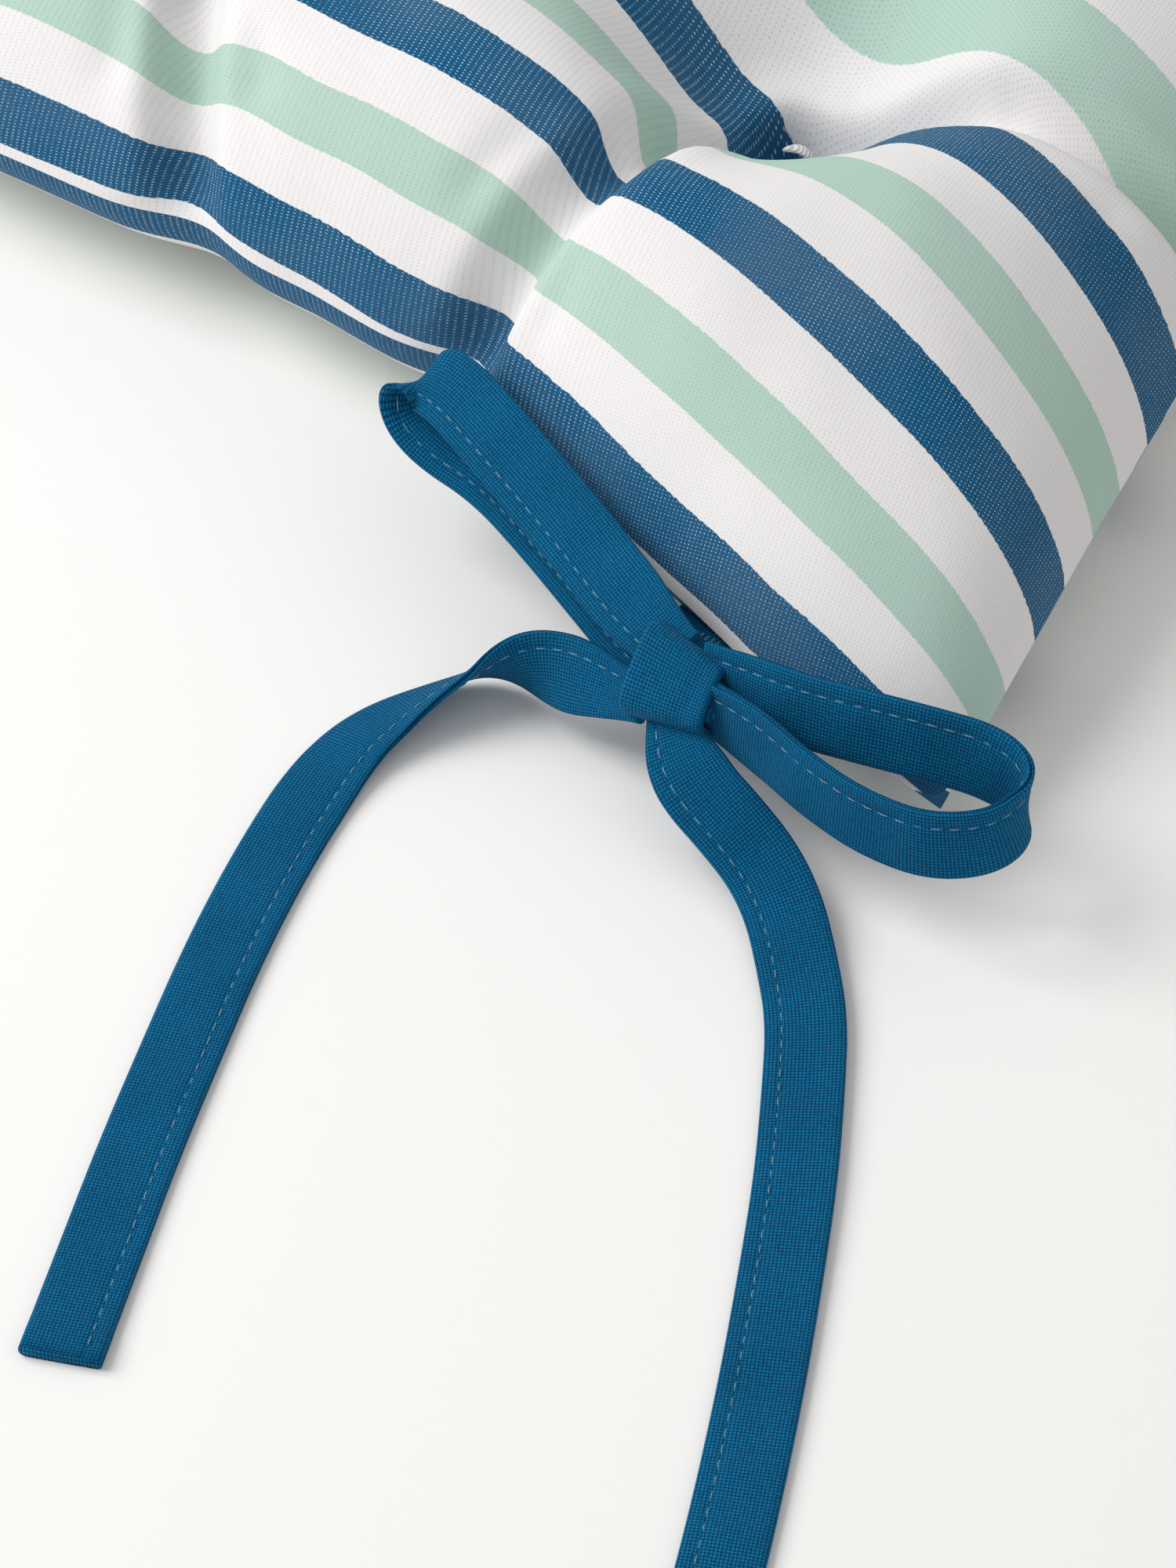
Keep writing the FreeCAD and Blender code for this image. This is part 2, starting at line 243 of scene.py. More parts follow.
@dataclass(frozen=True)
class StripedCotton:
    """Woven cotton in blue, white, mint and white stripes. Blue shows the white weft as dots."""

    stripe_mm: float = 15.0
    wobble_mm: float = 0.7  # how far the edge of a stripe strays
    dot_pitch_mm: float = 0.78  # across the stripes
    dot_row_mm: float = 1.08  # along the stripes
    dot_half_width_mm: float = 0.15
    dot_half_length_mm: float = 0.20
    stray_scale: float = 900.0  # lumps of noise in a metre, here and below
    dot_scale: float = 950.0
    patch_scale: float = 38.0
    fade_scale: float = 22.0
    yarn_scale: float = 2600.0
    bump_height: float = 0.22 * MM
    blue: Triple = (0.002, 0.108, 0.240)
    blue_dark: Triple = (0.001, 0.068, 0.165)
    dot: Triple = (0.42, 0.56, 0.64)
    white: Triple = (0.82, 0.80, 0.795)
    white_hole: Triple = (0.42, 0.40, 0.39)
    mint: Triple = (0.445, 0.615, 0.535)
    mint_hole: Triple = (0.16, 0.27, 0.21)
    faded: Triple = (0.55, 0.56, 0.57)

    def stripe(self, shader: Shader, across: Socket, middle: float, blur: float) -> Socket:
        """Marks every fourth stripe.

        Args:
            shader: The material.
            across: Distance across the stripes, in millimetres.
            middle: Middle of the first marked stripe, in stripes.
            blur: Half the width of its soft edge, in millimetres.

        Returns:
            1 inside the marked stripes and 0 outside.
        """
        half = self.stripe_mm / 2
        off = shader.math("SUBTRACT", across, middle * self.stripe_mm)
        off = shader.math("PINGPONG", off, 2 * self.stripe_mm)
        return shader.smooth(off, half - blur, half + blur, 1.0, 0.0)

    def dots(self, shader: Shader, along: Socket, across: Socket) -> Socket:
        """Marks the floats of the white weft, in rows across the stripes.

        Args:
            shader: The material.
            along: Distance along the stripes, in millimetres.
            across: Distance across the stripes, in millimetres.

        Returns:
            1 inside a dot and 0 outside.
        """
        rows = shader.math("DIVIDE", along, self.dot_row_mm)
        odd = shader.math("FLOORED_MODULO", shader.math("FLOOR", rows), 2.0)
        shift = shader.math("MULTIPLY", odd, 0.5)
        columns = shader.math("ADD", shader.math("DIVIDE", across, self.dot_pitch_mm), shift)
        offs = []
        for cells, size in (
            (columns, self.dot_pitch_mm / self.dot_half_width_mm),
            (rows, self.dot_row_mm / self.dot_half_length_mm),
        ):
            middle = shader.math("SUBTRACT", shader.math("FRACT", cells), 0.5)
            offs.append(shader.square(shader.math("MULTIPLY", middle, size)))
        return shader.smooth(shader.math("SQRT", shader.math("ADD", *offs)), 0.65, 1.25, 1.0, 0.0)

    def build(self) -> bpy.types.Material:
        """Builds the cover's material from the place on the flat cloth.

        Returns:
            The material.
        """
        shader = Shader("striped_cotton")
        place, along, across = shader.cloth_place()
        stray = shader.noise(place, self.stray_scale, 1.0)
        wobble = shader.math("MULTIPLY_ADD", stray, self.wobble_mm, across)
        wobble = shader.math("SUBTRACT", wobble, self.wobble_mm / 2)
        in_blue = self.stripe(shader, wobble, 0.5, 0.12)
        in_mint = self.stripe(shader, wobble, 2.5, 0.15)

        dot = self.dots(shader, along, across)
        strength = shader.smooth(shader.noise(place, self.dot_scale, 2.0), 0.34, 0.60, 0.30, 1.0)
        patch = shader.smooth(shader.noise(place, self.patch_scale, 2.0), 0.36, 0.62, 0.65, 1.0)
        shown_dot = shader.math("MULTIPLY", shader.math("MULTIPLY", dot, strength), patch)

        yarn = shader.noise(place, self.yarn_scale, 1.0)
        blue = shader.mix(shader.smooth(yarn, 0.3, 0.7), self.blue_dark, self.blue)
        blue = shader.mix(shown_dot, blue, self.dot)
        hole = shader.math("MULTIPLY", dot, shader.smooth(yarn, 0.35, 0.75, 0.12, 0.48))
        white = shader.mix(hole, self.white, self.white_hole)
        mint = shader.mix(hole, self.mint, self.mint_hole)
        colour = shader.mix(in_mint, white, mint)
        colour = shader.mix(in_blue, colour, blue)
        fade = shader.smooth(shader.noise(place, self.fade_scale, 3.0), 0.3, 0.7, 0.0, 0.06)
        colour = shader.mix(fade, colour, self.faded)
        height = shader.math("MULTIPLY_ADD", yarn, 0.6, dot)
        shader.raise_by(height, 0.35, self.bump_height)
        return shader.finish(colour, 0.92, 0.05)


@dataclass(frozen=True)
class TapeCotton:
    """Blue plain-weave canvas."""

    yarn_mm: float = 0.55
    light: Triple = (0.0010, 0.170, 0.375)
    dark: Triple = (0.0006, 0.026, 0.062)

    def build(self) -> bpy.types.Material:
        """Builds the tapes' material from the place on the flat tape.

        Returns:
            The material.
        """
        shader = Shader("blue_tape")
        place, along, across = shader.cloth_place()
        cells = [shader.math("DIVIDE", value, self.yarn_mm) for value in (along, across)]
        steps = shader.math("ADD", *[shader.math("FLOOR", cell) for cell in cells])
        turn = shader.math("FLOORED_MODULO", steps, 2.0)
        offs = []
        for cell in cells:
            middle = shader.math("SUBTRACT", shader.math("FRACT", cell), 0.5)
            offs.append(shader.square(shader.math("MULTIPLY", middle, 2.0)))
        rises = []
        for flat, round_off in ((offs[0], offs[1]), (offs[1], offs[0])):
            dome = shader.math("SUBTRACT", 1.0, round_off)
            rises.append(shader.math("MULTIPLY", dome, shader.math("MULTIPLY_ADD", flat, -0.45, 1.0)))
        pick = shader.math("MULTIPLY", turn, shader.math("SUBTRACT", rises[1], rises[0]))
        height = shader.math("ADD", rises[0], pick)
        slub = shader.noise(place, 1300.0, 2.0)
        wear = shader.smooth(shader.noise(place, 60.0, 3.0), 0.3, 0.7, 0.82, 1.0)
        tone = shader.math("MULTIPLY", shader.smooth(height, 0.1, 0.95, 0.0, 1.0), wear)
        tone = shader.math("MULTIPLY", tone, shader.smooth(slub, 0.25, 0.7, 0.7, 1.08))
        colour = shader.mix(tone, self.dark, self.light)
        shader.raise_by(shader.math("MULTIPLY_ADD", slub, 0.5, height), 0.5, 0.00018)
        return shader.finish(colour, 0.88, 0.02)


@dataclass(frozen=True)
class SpunThread:
    """Twisted thread or twine of one colour."""

    name: str
    light: Triple
    dark: Triple
    twists: float

    def build(self) -> bpy.types.Material:
        """Builds a thread material whose plies show as slanting bands.

        Returns:
            The material.
        """
        shader = Shader(self.name)
        place = shader.object_place()
        wave = shader.nodes.new("ShaderNodeTexWave")
        wave.bands_direction = "DIAGONAL"
        wave.inputs["Scale"].default_value = self.twists
        wave.inputs["Distortion"].default_value = 1.5
        shader.links.new(place, wave.inputs["Vector"])
        fluff = shader.noise(place, 4000.0)
        tone = shader.math("MULTIPLY", wave.outputs["Fac"], fluff)
        colour = shader.mix(shader.smooth(tone, 0.05, 0.55), self.dark, self.light)
        shader.raise_by(wave.outputs["Fac"], 0.4, 0.0001)
        return shader.finish(colour, 0.7, 0.1)


@dataclass(frozen=True)
class WaddingFibre:
    """Soft white fibre filling."""

    light: Triple = (0.86, 0.86, 0.84)
    dark: Triple = (0.62, 0.62, 0.60)

    def build(self) -> bpy.types.Material:
        """Builds a matted fibre material.

        Returns:
            The material.
        """
        shader = Shader("wadding")
        place = shader.object_place()
        mat = shader.noise(place, 260.0, 6.0)
        colour = shader.mix(shader.smooth(mat, 0.35, 0.65), self.dark, self.light)
        shader.raise_by(mat, 0.6, 0.001)
        return shader.finish(colour, 1.0, 0.2)


@dataclass(frozen=True)
class StudioPaper:
    """Pale matt paper under the pad."""

    tone: Triple = (0.95, 0.935, 0.915)

    def build(self) -> bpy.types.Material:
        """Builds the floor's material.

        Returns:
            The material.
        """
        shader = Shader("studio_paper")
        grain = shader.noise(shader.object_place(), 300.0, 3.0)
        colour = shader.mix(shader.smooth(grain, 0.2, 0.8, 0.0, 0.012), self.tone, (0.6, 0.6, 0.6))
        return shader.finish(colour, 0.9, 0.0)


THREAD = SpunThread("sewing_thread", (0.22, 0.40, 0.52), (0.08, 0.20, 0.30), 1500.0)
TWINE = SpunThread("tufting_twine", (0.80, 0.80, 0.78), (0.48, 0.48, 0.46), 700.0)


def make_mesh(
    name: str, points: np.ndarray, faces: list[tuple[int, ...]], cloth: np.ndarray | None = None
) -> bpy.types.Object:
    """Makes a smooth-shaded mesh object.

    Args:
        name: The object's name.
        points: Its points, in metres.
        faces: Its faces, as point numbers.
        cloth: Where each face corner lies on the flat cloth, in metres, in face order.

    Returns:
        The object, linked to the scene.
    """
    mesh = bpy.data.meshes.new(name)
    mesh.from_pydata([tuple(p) for p in points], [], faces)
    mesh.update()
    if cloth is not None:
        layer = mesh.uv_layers.new(name="cloth")
        layer.data.foreach_set("uv", np.asarray(cloth, np.float32).ravel())
    mesh.polygons.foreach_set("use_smooth", [True] * len(mesh.polygons))
    piece = bpy.data.objects.new(name, mesh)
    bpy.context.scene.collection.objects.link(piece)
    return piece


def dress(piece: bpy.types.Object, material: bpy.types.Material) -> None:
    """Gives a piece its only material.

    Args:
        piece: The piece.
        material: Its material.
    """
    piece.data.materials.clear()
    piece.data.materials.append(material)


def ease(value: np.ndarray | float) -> np.ndarray | float:
    """Smooth step from 0 to 1 of a value from 0 to 1."""
    held = np.clip(value, 0.0, 1.0)
    return held * held * (3 - 2 * held)


def distances(line: np.ndarray) -> np.ndarray:
    """Distance of each point of a line from its start, measured along the line."""
    return np.concatenate([[0], np.cumsum(np.linalg.norm(np.diff(line, axis=0), axis=1))])


def read_at(place: float, places: np.ndarray, points: np.ndarray) -> np.ndarray:
    """Point between given points.

    Args:
        place: Where it is read.
        places: The given points' own places, in rising order.
        points: The given points.

    Returns:
        The point.
    """
    return np.array([np.interp(place, places, points[:, k]) for k in range(3)])


def direction(vector: np.ndarray) -> np.ndarray:
    """Vectors of length one, the same way as the given ones."""
    return vector / np.linalg.norm(vector, axis=-1, keepdims=True)


@dataclass
class StitchRow:
    """Short stitches of thread, each a bowed tube whose ends dip into the cloth."""

    name: str
    radius: float
    bow: float
    rings: int = 7
    sides: int = 8
    points: list[np.ndarray] = field(default_factory=list)
    faces: list[tuple[int, ...]] = field(default_factory=list)
    end_sink: float = 0.8  # how deep the ends dip, in radii
    end_thickness: float = 0.35  # share of the radius left at the ends

    def add(self, start: np.ndarray, end: np.ndarray, out: np.ndarray) -> None:
        """Adds one stitch.

        Args:
            start: Where it comes out of the cloth.
            end: Where it goes back in.
            out: The direction away from the cloth.
        """
        along = end - start
        length = np.linalg.norm(along)
        along = along / length
        out = direction(out - along * (out @ along))
        sideways = np.cross(along, out)
        base = len(self.points)
        for ring in range(self.rings):
            share = ring / (self.rings - 1)
            arch = max(0.0, math.sin(math.pi * share))
            lift = self.bow * arch - self.radius * (1 - arch) * self.end_sink
            thick = self.radius * (self.end_thickness + (1 - self.end_thickness) * math.sqrt(arch))
            middle = start + along * length * share + out * lift
            for side in range(self.sides):
                angle = 2 * math.pi * side / self.sides
                self.points.append(middle + (out * math.cos(angle) + sideways * math.sin(angle)) * thick)
        for ring in range(self.rings - 1):
            for side in range(self.sides):
                following = (side + 1) % self.sides
                here, there = base + ring * self.sides, base + (ring + 1) * self.sides
                self.faces.append((here + side, there + side, there + following, here + following))
        last = base + (self.rings - 1) * self.sides
        self.faces.append(tuple(base + side for side in range(self.sides)))
        self.faces.append(tuple(last + side for side in reversed(range(self.sides))))

    def build(self, material: bpy.types.Material, slot: str) -> bpy.types.Object:
        """Makes the object that holds every stitch.

        Args:
            material: The thread's material.
            slot: The record's material slot, not used.

        Returns:
            The object.
        """
        piece = make_mesh(self.name, np.array(self.points), self.faces)
        dress(piece, material)
        return piece


@dataclass
class PadCover:
    """Two square panels sewn together round the edge and drawn in by nine tufts."""

    panel: float = 0.516  # side of each flat panel
    waist: float = 0.186
    flare: float = 0.025
    seam_height: float = 0.022
    seam_drop: float = 0.010
    tuft_pitch: float = 0.116
    cells: int = 96  # cells along each side of a panel
    wall_round: float = 0.66  # power that shapes the side wall; a half is a plain ellipse
    mean_dimple: float = 0.020
    dimple_spread: float = 0.0185
    dimple_extra: float = 4.2 * MM  # how far the tufts sink below their stitches' lowest place
    under_dimple: float = 0.005
    under_dimple_spread: float = 0.012
    table_gap: float = 0.8 * MM
    valley_depth: float = 0.009
    valley_spread: float = 0.012
    crease_depth: float = 0.0045
    crease_spread: float = 0.0065
    fold_depth: float = 0.0074  # sharp part of each crease, pressed in after the simulation
    fold_spread: float = 0.0030
    fold_lip: float = 0.0018
    fold_lip_place: float = 2.4  # in spreads from the crease, as is its width
    fold_lip_width: float = 1.6
    small_depth: float = 0.0016
    small_spread: float = 0.8  # share of the main fold's spread
    small_folds: tuple[Triple, ...] = (  # slip aside, then first and last share of the crease
        (0.011, 0.15, 0.55),
        (-0.012, 0.25, 0.75),
    )
    pinch_depth: float = 0.004
    pinch_spread: float = 0.009
    pinch_places: tuple[float, ...] = (-0.102, -0.047, 0.047, 0.102)
    swell: tuple[Place, ...] = (  # millimetres along a side, and the seam's way out there
        (0, 3.5), (43, 0.5), (70, -3.0), (98, -3.5), (120, -0.5),
        (140, 3.7), (156, 5.4), (174, 7.3), (194, 6.6), (211, 4.4),
    )
    side_swell: float = 0.15  # share of the swell that the two sides without ties have
    loose_hold: float = 0.30  # how firmly the simulation keeps the cloth, the valleys and so on
    valley_hold: float = 0.5
    crease_hold: float = 0.6
    tuft_hold: float = 0.9
    resting_share: float = 0.36  # share of the panel, from its middle, that lies on the table
    slow_waves: tuple[Place, ...] = ((0.055, 0.45 * MM), (0.031, 0.25 * MM), (0.017, 0.12 * MM))
    waves_each: int = 5
    frames: int = 36
    pressure: float = 7.0
    top_room: float = 0.004  # how far the blown-up cover may pass the frame's height
    first_stripe: float = 0.0035  # white left between the back seam and the top's first blue stripe
    under_stripe: float = 0.0025  # part of the bottom's first blue stripe that the back seam takes up
    pillow_height: float = field(init=False)
    tuft_top: float = field(init=False)
    top: np.ndarray = field(init=False)
    bottom: np.ndarray = field(init=False)

    def __post_init__(self) -> None:
        """Reads the heights that the frame gives."""
        self.pillow_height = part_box("top_cover")[1].z
        self.tuft_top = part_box("tuft_stitches_top")[0].z - self.dimple_extra

    def seam_level(self, x: np.ndarray, y: np.ndarray) -> np.ndarray:
        """Height of the seam's surface at (x, y)."""
        corner = self.waist + self.flare
        return self.seam_height - self.seam_drop * (x * y / corner**2) ** 2

    def square_place(self, cloth: np.ndarray) -> np.ndarray:
        """Place from -1 to 1 of a point of the flat cloth, so that the tufts meet their pitch.

        Args:
            cloth: Distance from the panel's middle.

        Returns:
            The place across the pad, 1 being the seam.
        """
        tuft = self.panel / 4
        share = np.linspace(0, 1, 2001)
        height = (self.pillow_height - self.seam_height) * (1 - share**6) ** self.wall_round
        away = (share * self.waist - self.tuft_pitch) / self.dimple_spread
        height -= self.mean_dimple * np.exp(-(away**2) / 2)
        steps = np.hypot(np.diff(share) * self.waist, np.diff(height))
        over = np.concatenate([[0], np.cumsum(steps)])
        at_tuft = np.interp(self.tuft_pitch / self.waist, share, over)
        inner = np.abs(cloth) / tuft * self.tuft_pitch / self.waist
        gone = np.clip((np.abs(cloth) - tuft) / (self.panel / 2 - tuft), 0, 1)
        outer = np.interp(at_tuft + gone * (over[-1] - at_tuft), over, share)
        return np.sign(cloth) * np.where(np.abs(cloth) <= tuft, inner, outer)

    @staticmethod
    def off_line(x: np.ndarray, y: np.ndarray, start: Place, end: Place) -> np.ndarray:
        """Distance of points from a straight line between two places, in plan."""
        dx, dy = end[0] - start[0], end[1] - start[1]
        share = np.clip(((x - start[0]) * dx + (y - start[1]) * dy) / (dx * dx + dy * dy), 0, 1)
        return np.hypot(x - start[0] - share * dx, y - start[1] - share * dy)

    def valleys(self) -> list[Fold]:
        """Lists the valleys between neighbouring tufts."""
        pitch = self.tuft_pitch
        found = []
        for line in (-pitch, 0.0, pitch):
            for step in (-pitch, 0.0):
                start, end = (step, line), (step + pitch, line)
                found.append((start, end, self.valley_depth, self.valley_spread))
                found.append((start[::-1], end[::-1], self.valley_depth, self.valley_spread))
        return found

    def creases(self) -> list[Fold]:
        """Lists the creases from the seam's pinches to the nearest tufts."""
        pitch = self.tuft_pitch
        found = []
        for place in self.pinch_places:
            tuft = math.copysign(pitch, place) if abs(place) > pitch / 2 else 0.0
            edge = self.waist + self.flare * (place / self.waist) ** 2
            for sign in (-1, 1):
                seam_end, tuft_end = (place, sign * edge), (tuft, sign * pitch)
                for start, end in ((seam_end, tuft_end), (seam_end[::-1], tuft_end[::-1])):
                    found.append((start, end, self.crease_depth, self.crease_spread))
        return found

    def pull(self, share: np.ndarray) -> np.ndarray:
        """How much a place from -1 to 1 across the pad follows its seam, with the seam's sign."""
        return np.abs(share) ** 8 * np.sign(share)

    def seam_shift(self, along: np.ndarray, across: np.ndarray, swell_share: float) -> np.ndarray:
        """How far the pinches and bulges of a seam move points.

        Args:
            along: Distance along the side.
            across: Place from -1 to 1 across the pad.
            swell_share: Share of the bulges that this side has.

        Returns:
            The shift across the pad.
        """
        places, swell = np.array(self.swell).T
        pinch = sum(np.exp(-(((along - place) / self.pinch_spread) ** 2)) for place in self.pinch_places)
        bulge = np.interp(np.abs(along), places * MM, swell) * MM
        return self.pull(across) * (bulge * swell_share - pinch * self.pinch_depth)

    def lay_out(self) -> tuple[np.ndarray, np.ndarray, np.ndarray]:
        """Works out the shape that the simulation starts from.

        Returns:
            The grid of flat places, the top panel's points and the bottom panel's points.
        """
        line = np.linspace(-self.panel / 2, self.panel / 2, self.cells + 1)
        flat_x, flat_y = np.meshgrid(line, line, indexing="ij")
        s, t = self.square_place(flat_x), self.square_place(flat_y)
        x, y = s * (self.waist + self.flare * t * t), t * (self.waist + self.flare * s * s)
        seam = self.seam_level(x, y)
        x, y = x + self.seam_shift(y, s, self.side_swell), y + self.seam_shift(x, t, 1.0)
        level = np.clip((1 - s**6) * (1 - t**6), 0, 1)
        top = seam + (self.pillow_height - seam) * level**self.wall_round
        for start, end, depth, spread in self.valleys() + self.creases():
            away = self.off_line(x, y, start, end) / spread
            top -= depth * np.exp(-(away**2) / 2) * level**0.35
        bottom = seam * (1 - np.sqrt(np.clip((1 - s**10) * (1 - t**10), 0, 1))) + self.table_gap
        for tuft_x in (-self.tuft_pitch, 0.0, self.tuft_pitch):
            for tuft_y in (-self.tuft_pitch, 0.0, self.tuft_pitch):
                away = (x - tuft_x) ** 2 + (y - tuft_y) ** 2
                near = np.exp(-away / (2 * self.dimple_spread**2))
                top -= np.maximum(top - self.tuft_top, 0) * near
                bottom += self.under_dimple * np.exp(-away / (2 * self.under_dimple_spread**2)) * level
        edge = self.edge_mask(len(line))
        top[edge] = bottom[edge] = seam[edge]
        flat = np.stack([flat_x, flat_y, np.zeros_like(flat_x)], axis=-1)
        return flat, np.stack([x, y, top], axis=-1), np.stack([x, y, bottom], axis=-1)

    def pin_weights(self, flat: np.ndarray, start: np.ndarray) -> tuple[np.ndarray, np.ndarray]:
        """Says how firmly each point is held while the pad is blown up.

        Args:
            flat: The flat places.
            start: The top panel's starting points.

        Returns:
            The weights of the top and of the bottom panel.
        """
        x, y = start[..., 0], start[..., 1]
        top = np.full(x.shape, self.loose_hold)
        for folds, hold in ((self.valleys(), self.valley_hold), (self.creases(), self.crease_hold)):
            for begin, end, _, spread in folds:
                away = self.off_line(x, y, begin, end) / (spread / 2)
                top = np.maximum(top, hold * np.exp(-(away**2) / 2))
        bottom = np.zeros(x.shape)
        limit = self.resting_share * self.panel
        bottom[(np.abs(flat[..., 0]) < limit) & (np.abs(flat[..., 1]) < limit)] = 1.0
        for i, j in self.tuft_indices():
            top[i - 1 : i + 2, j - 1 : j + 2] = self.tuft_hold
            top[i, j] = 1.0
        top[self.edge_mask(len(top))] = 1.0
        return top, bottom

    @staticmethod
    def edge_mask(size: int) -> np.ndarray:
        """Marks the outermost points of a square grid."""
        edge = np.zeros((size, size), bool)
        edge[[0, -1], :] = True
        edge[:, [0, -1]] = True
        return edge

    def blow_up(self) -> None:
        flat, top, bottom = self.lay_out()
        top, bottom = self.simulate(flat, top, bottom)
        self.top, self.bottom = self.press_folds(self.refined(top)), self.refined(bottom)
        self.cells *= 2

    def simulate(
        self, flat: np.ndarray, top: np.ndarray, bottom: np.ndarray
    ) -> tuple[np.ndarray, np.ndarray]:
        """Blows the sewn cover up.

        Args:
            flat: The grid of flat places.
            top: The top panel's starting points.
            bottom: The bottom panel's starting points.

        Returns:
            The blown-up points of the top and of the bottom panel.
        """
        size = self.cells + 1
        numbers = np.arange(size * size).reshape(size, size)
        under = numbers.copy()
        under[1:-1, 1:-1] = size * size + np.arange((size - 2) ** 2).reshape(size - 2, size - 2)
        points, rest = (
            np.concatenate([upper.reshape(-1, 3), lower[1:-1, 1:-1].reshape(-1, 3)])
            for upper, lower in ((top, bottom), (flat, flat))
        )
        top_hold, bottom_hold = self.pin_weights(flat, top)
        holds = np.concatenate([top_hold.ravel(), bottom_hold[1:-1, 1:-1].ravel()])
        faces = self.grid_faces(numbers, False) + self.grid_faces(under, True)
        sewn = make_mesh("sewn_cover", points, faces)
        sewn.shape_key_add(name="start")
        key = sewn.shape_key_add(name="flat")
        key.data.foreach_set("co", rest.astype(np.float32).ravel())
        group = sewn.vertex_groups.new(name="held")
        for number in np.nonzero(holds)[0]:
            group.add([int(number)], float(holds[number]), "REPLACE")
        self.add_cloth(sewn, group, key)
        scene = bpy.context.scene
        scene.frame_start, scene.frame_end = 1, self.frames
        for number in range(1, self.frames + 1):
            scene.frame_set(number)
        shaped = bpy.data.meshes.new_from_object(sewn.evaluated_get(bpy.context.evaluated_depsgraph_get()))
        moved = np.empty(len(shaped.vertices) * 3)
        shaped.vertices.foreach_get("co", moved)
        moved = moved.reshape(-1, 3)
        bpy.data.meshes.remove(shaped)
        bpy.data.objects.remove(sewn)
        scene.frame_set(1)
        moved[:, 2] = np.clip(moved[:, 2], 0.5 * MM, self.pillow_height + self.top_room)
        return moved[numbers], moved[under]

    def add_cloth(
        self, sewn: bpy.types.Object, group: bpy.types.VertexGroup, key: bpy.types.ShapeKey
    ) -> None:
        """Makes the sewn cover a cloth under pressure.

        Args:
            sewn: The sewn cover.
            group: How firmly each point is held.
            key: The cover's flat shape.
        """
        cloth = sewn.modifiers.new("cloth", "CLOTH")
        settings = cloth.settings
        settings.quality = 6
        settings.mass = 0.15
        settings.tension_stiffness = settings.compression_stiffness = 20.0
        settings.shear_stiffness = 8.0
        settings.bending_stiffness = 0.4
        settings.tension_damping = settings.compression_damping = settings.shear_damping = 5.0
        settings.air_damping = 2.0
        settings.vertex_group_mass = group.name
        settings.pin_stiffness = 1.0
        settings.use_pressure = True
        settings.uniform_pressure_force = self.pressure
        settings.rest_shape_key = key
        settings.effector_weights.gravity = 0.0
        cloth.collision_settings.use_collision = False
        cloth.point_cache.frame_start, cloth.point_cache.frame_end = 1, self.frames

    @staticmethod
    def refined(points: np.ndarray) -> np.ndarray:
        """Doubles a grid of points with a smooth curve through the given ones.

        Args:
            points: The grid.

        Returns:
            The grid with a new point between each two.
        """
        for _ in range(2):
            before, after = 2 * points[:1] - points[1:2], 2 * points[-1:] - points[-2:-1]
            held = np.concatenate([before, points, after])
            between = (9 * (held[1:-2] + held[2:-1]) - held[:-3] - held[3:]) / 16
            denser = np.empty((2 * len(points) - 1, *points.shape[1:]))
            denser[::2], denser[1::2] = points, between
            points = denser.swapaxes(0, 1)
        return points

    def press_folds(self, points: np.ndarray) -> np.ndarray:
        """Presses the sharp creases between the seam's pinches and the edge tufts.

        Args:
            points: The top panel's simulated points.

        Returns:
            The creased points.
        """
        out = direction(np.cross(np.gradient(points, axis=0), np.gradient(points, axis=1)))
        place = np.abs(np.linspace(-1, 1, len(points)))
        inside = 1 - np.maximum(place[:, None], place[None, :]) ** 24
        press = np.zeros(points.shape[:2])
        x, y = points[..., 0], points[..., 1]
        for start, end, _, _ in self.creases():
            away = self.off_line(x, y, start, end) / self.fold_spread
            press += self.fold_lip * np.exp(-((away - self.fold_lip_place) ** 2) / self.fold_lip_width)
            press -= self.fold_depth * np.exp(-(away**2) / 2)
            begin, run = np.array(start), np.array(end) - start
            for slip, first, last in self.small_folds:
                aside = direction(run)[::-1] * (1, -1) * slip
                one_end, other_end = begin + run * first + aside, begin + run * last + aside * 0.4
                away = self.off_line(x, y, one_end, other_end) / (self.small_spread * self.fold_spread)
                press -= self.small_depth * np.exp(-(away**2) / 2)
        return points + out * (press * inside)[..., None]

    @staticmethod
    def grid_faces(numbers: np.ndarray, turned: bool) -> list[tuple[int, ...]]:
        """Faces of a grid of numbered points.

        Args:
            numbers: The point numbers.
            turned: Whether the faces look down.

        Returns:
            The faces.
        """
        found = []
        for i in range(numbers.shape[0] - 1):
            for j in range(numbers.shape[1] - 1):
                face = (numbers[i, j], numbers[i + 1, j], numbers[i + 1, j + 1], numbers[i, j + 1])
                found.append(tuple(int(k) for k in (face[::-1] if turned else face)))
        return found

    def unevenness(self, points: np.ndarray) -> np.ndarray:
        """Small soft lumps of the filling, with a fixed seed.

        Args:
            points: A panel's grid of points.

        Returns:
            How far each point is lifted.
        """
        chance = np.random.default_rng(7)
        lift = np.zeros(points.shape[:2])
        for wavelength, height in self.slow_waves:
            for _ in range(self.waves_each):
                angle, phase = chance.uniform(0, math.pi), chance.uniform(0, 2 * math.pi)
                along = points[..., 0] * math.cos(angle) + points[..., 1] * math.sin(angle)
                lift += height * np.sin(2 * math.pi * along / wavelength + phase) / 2
        return lift

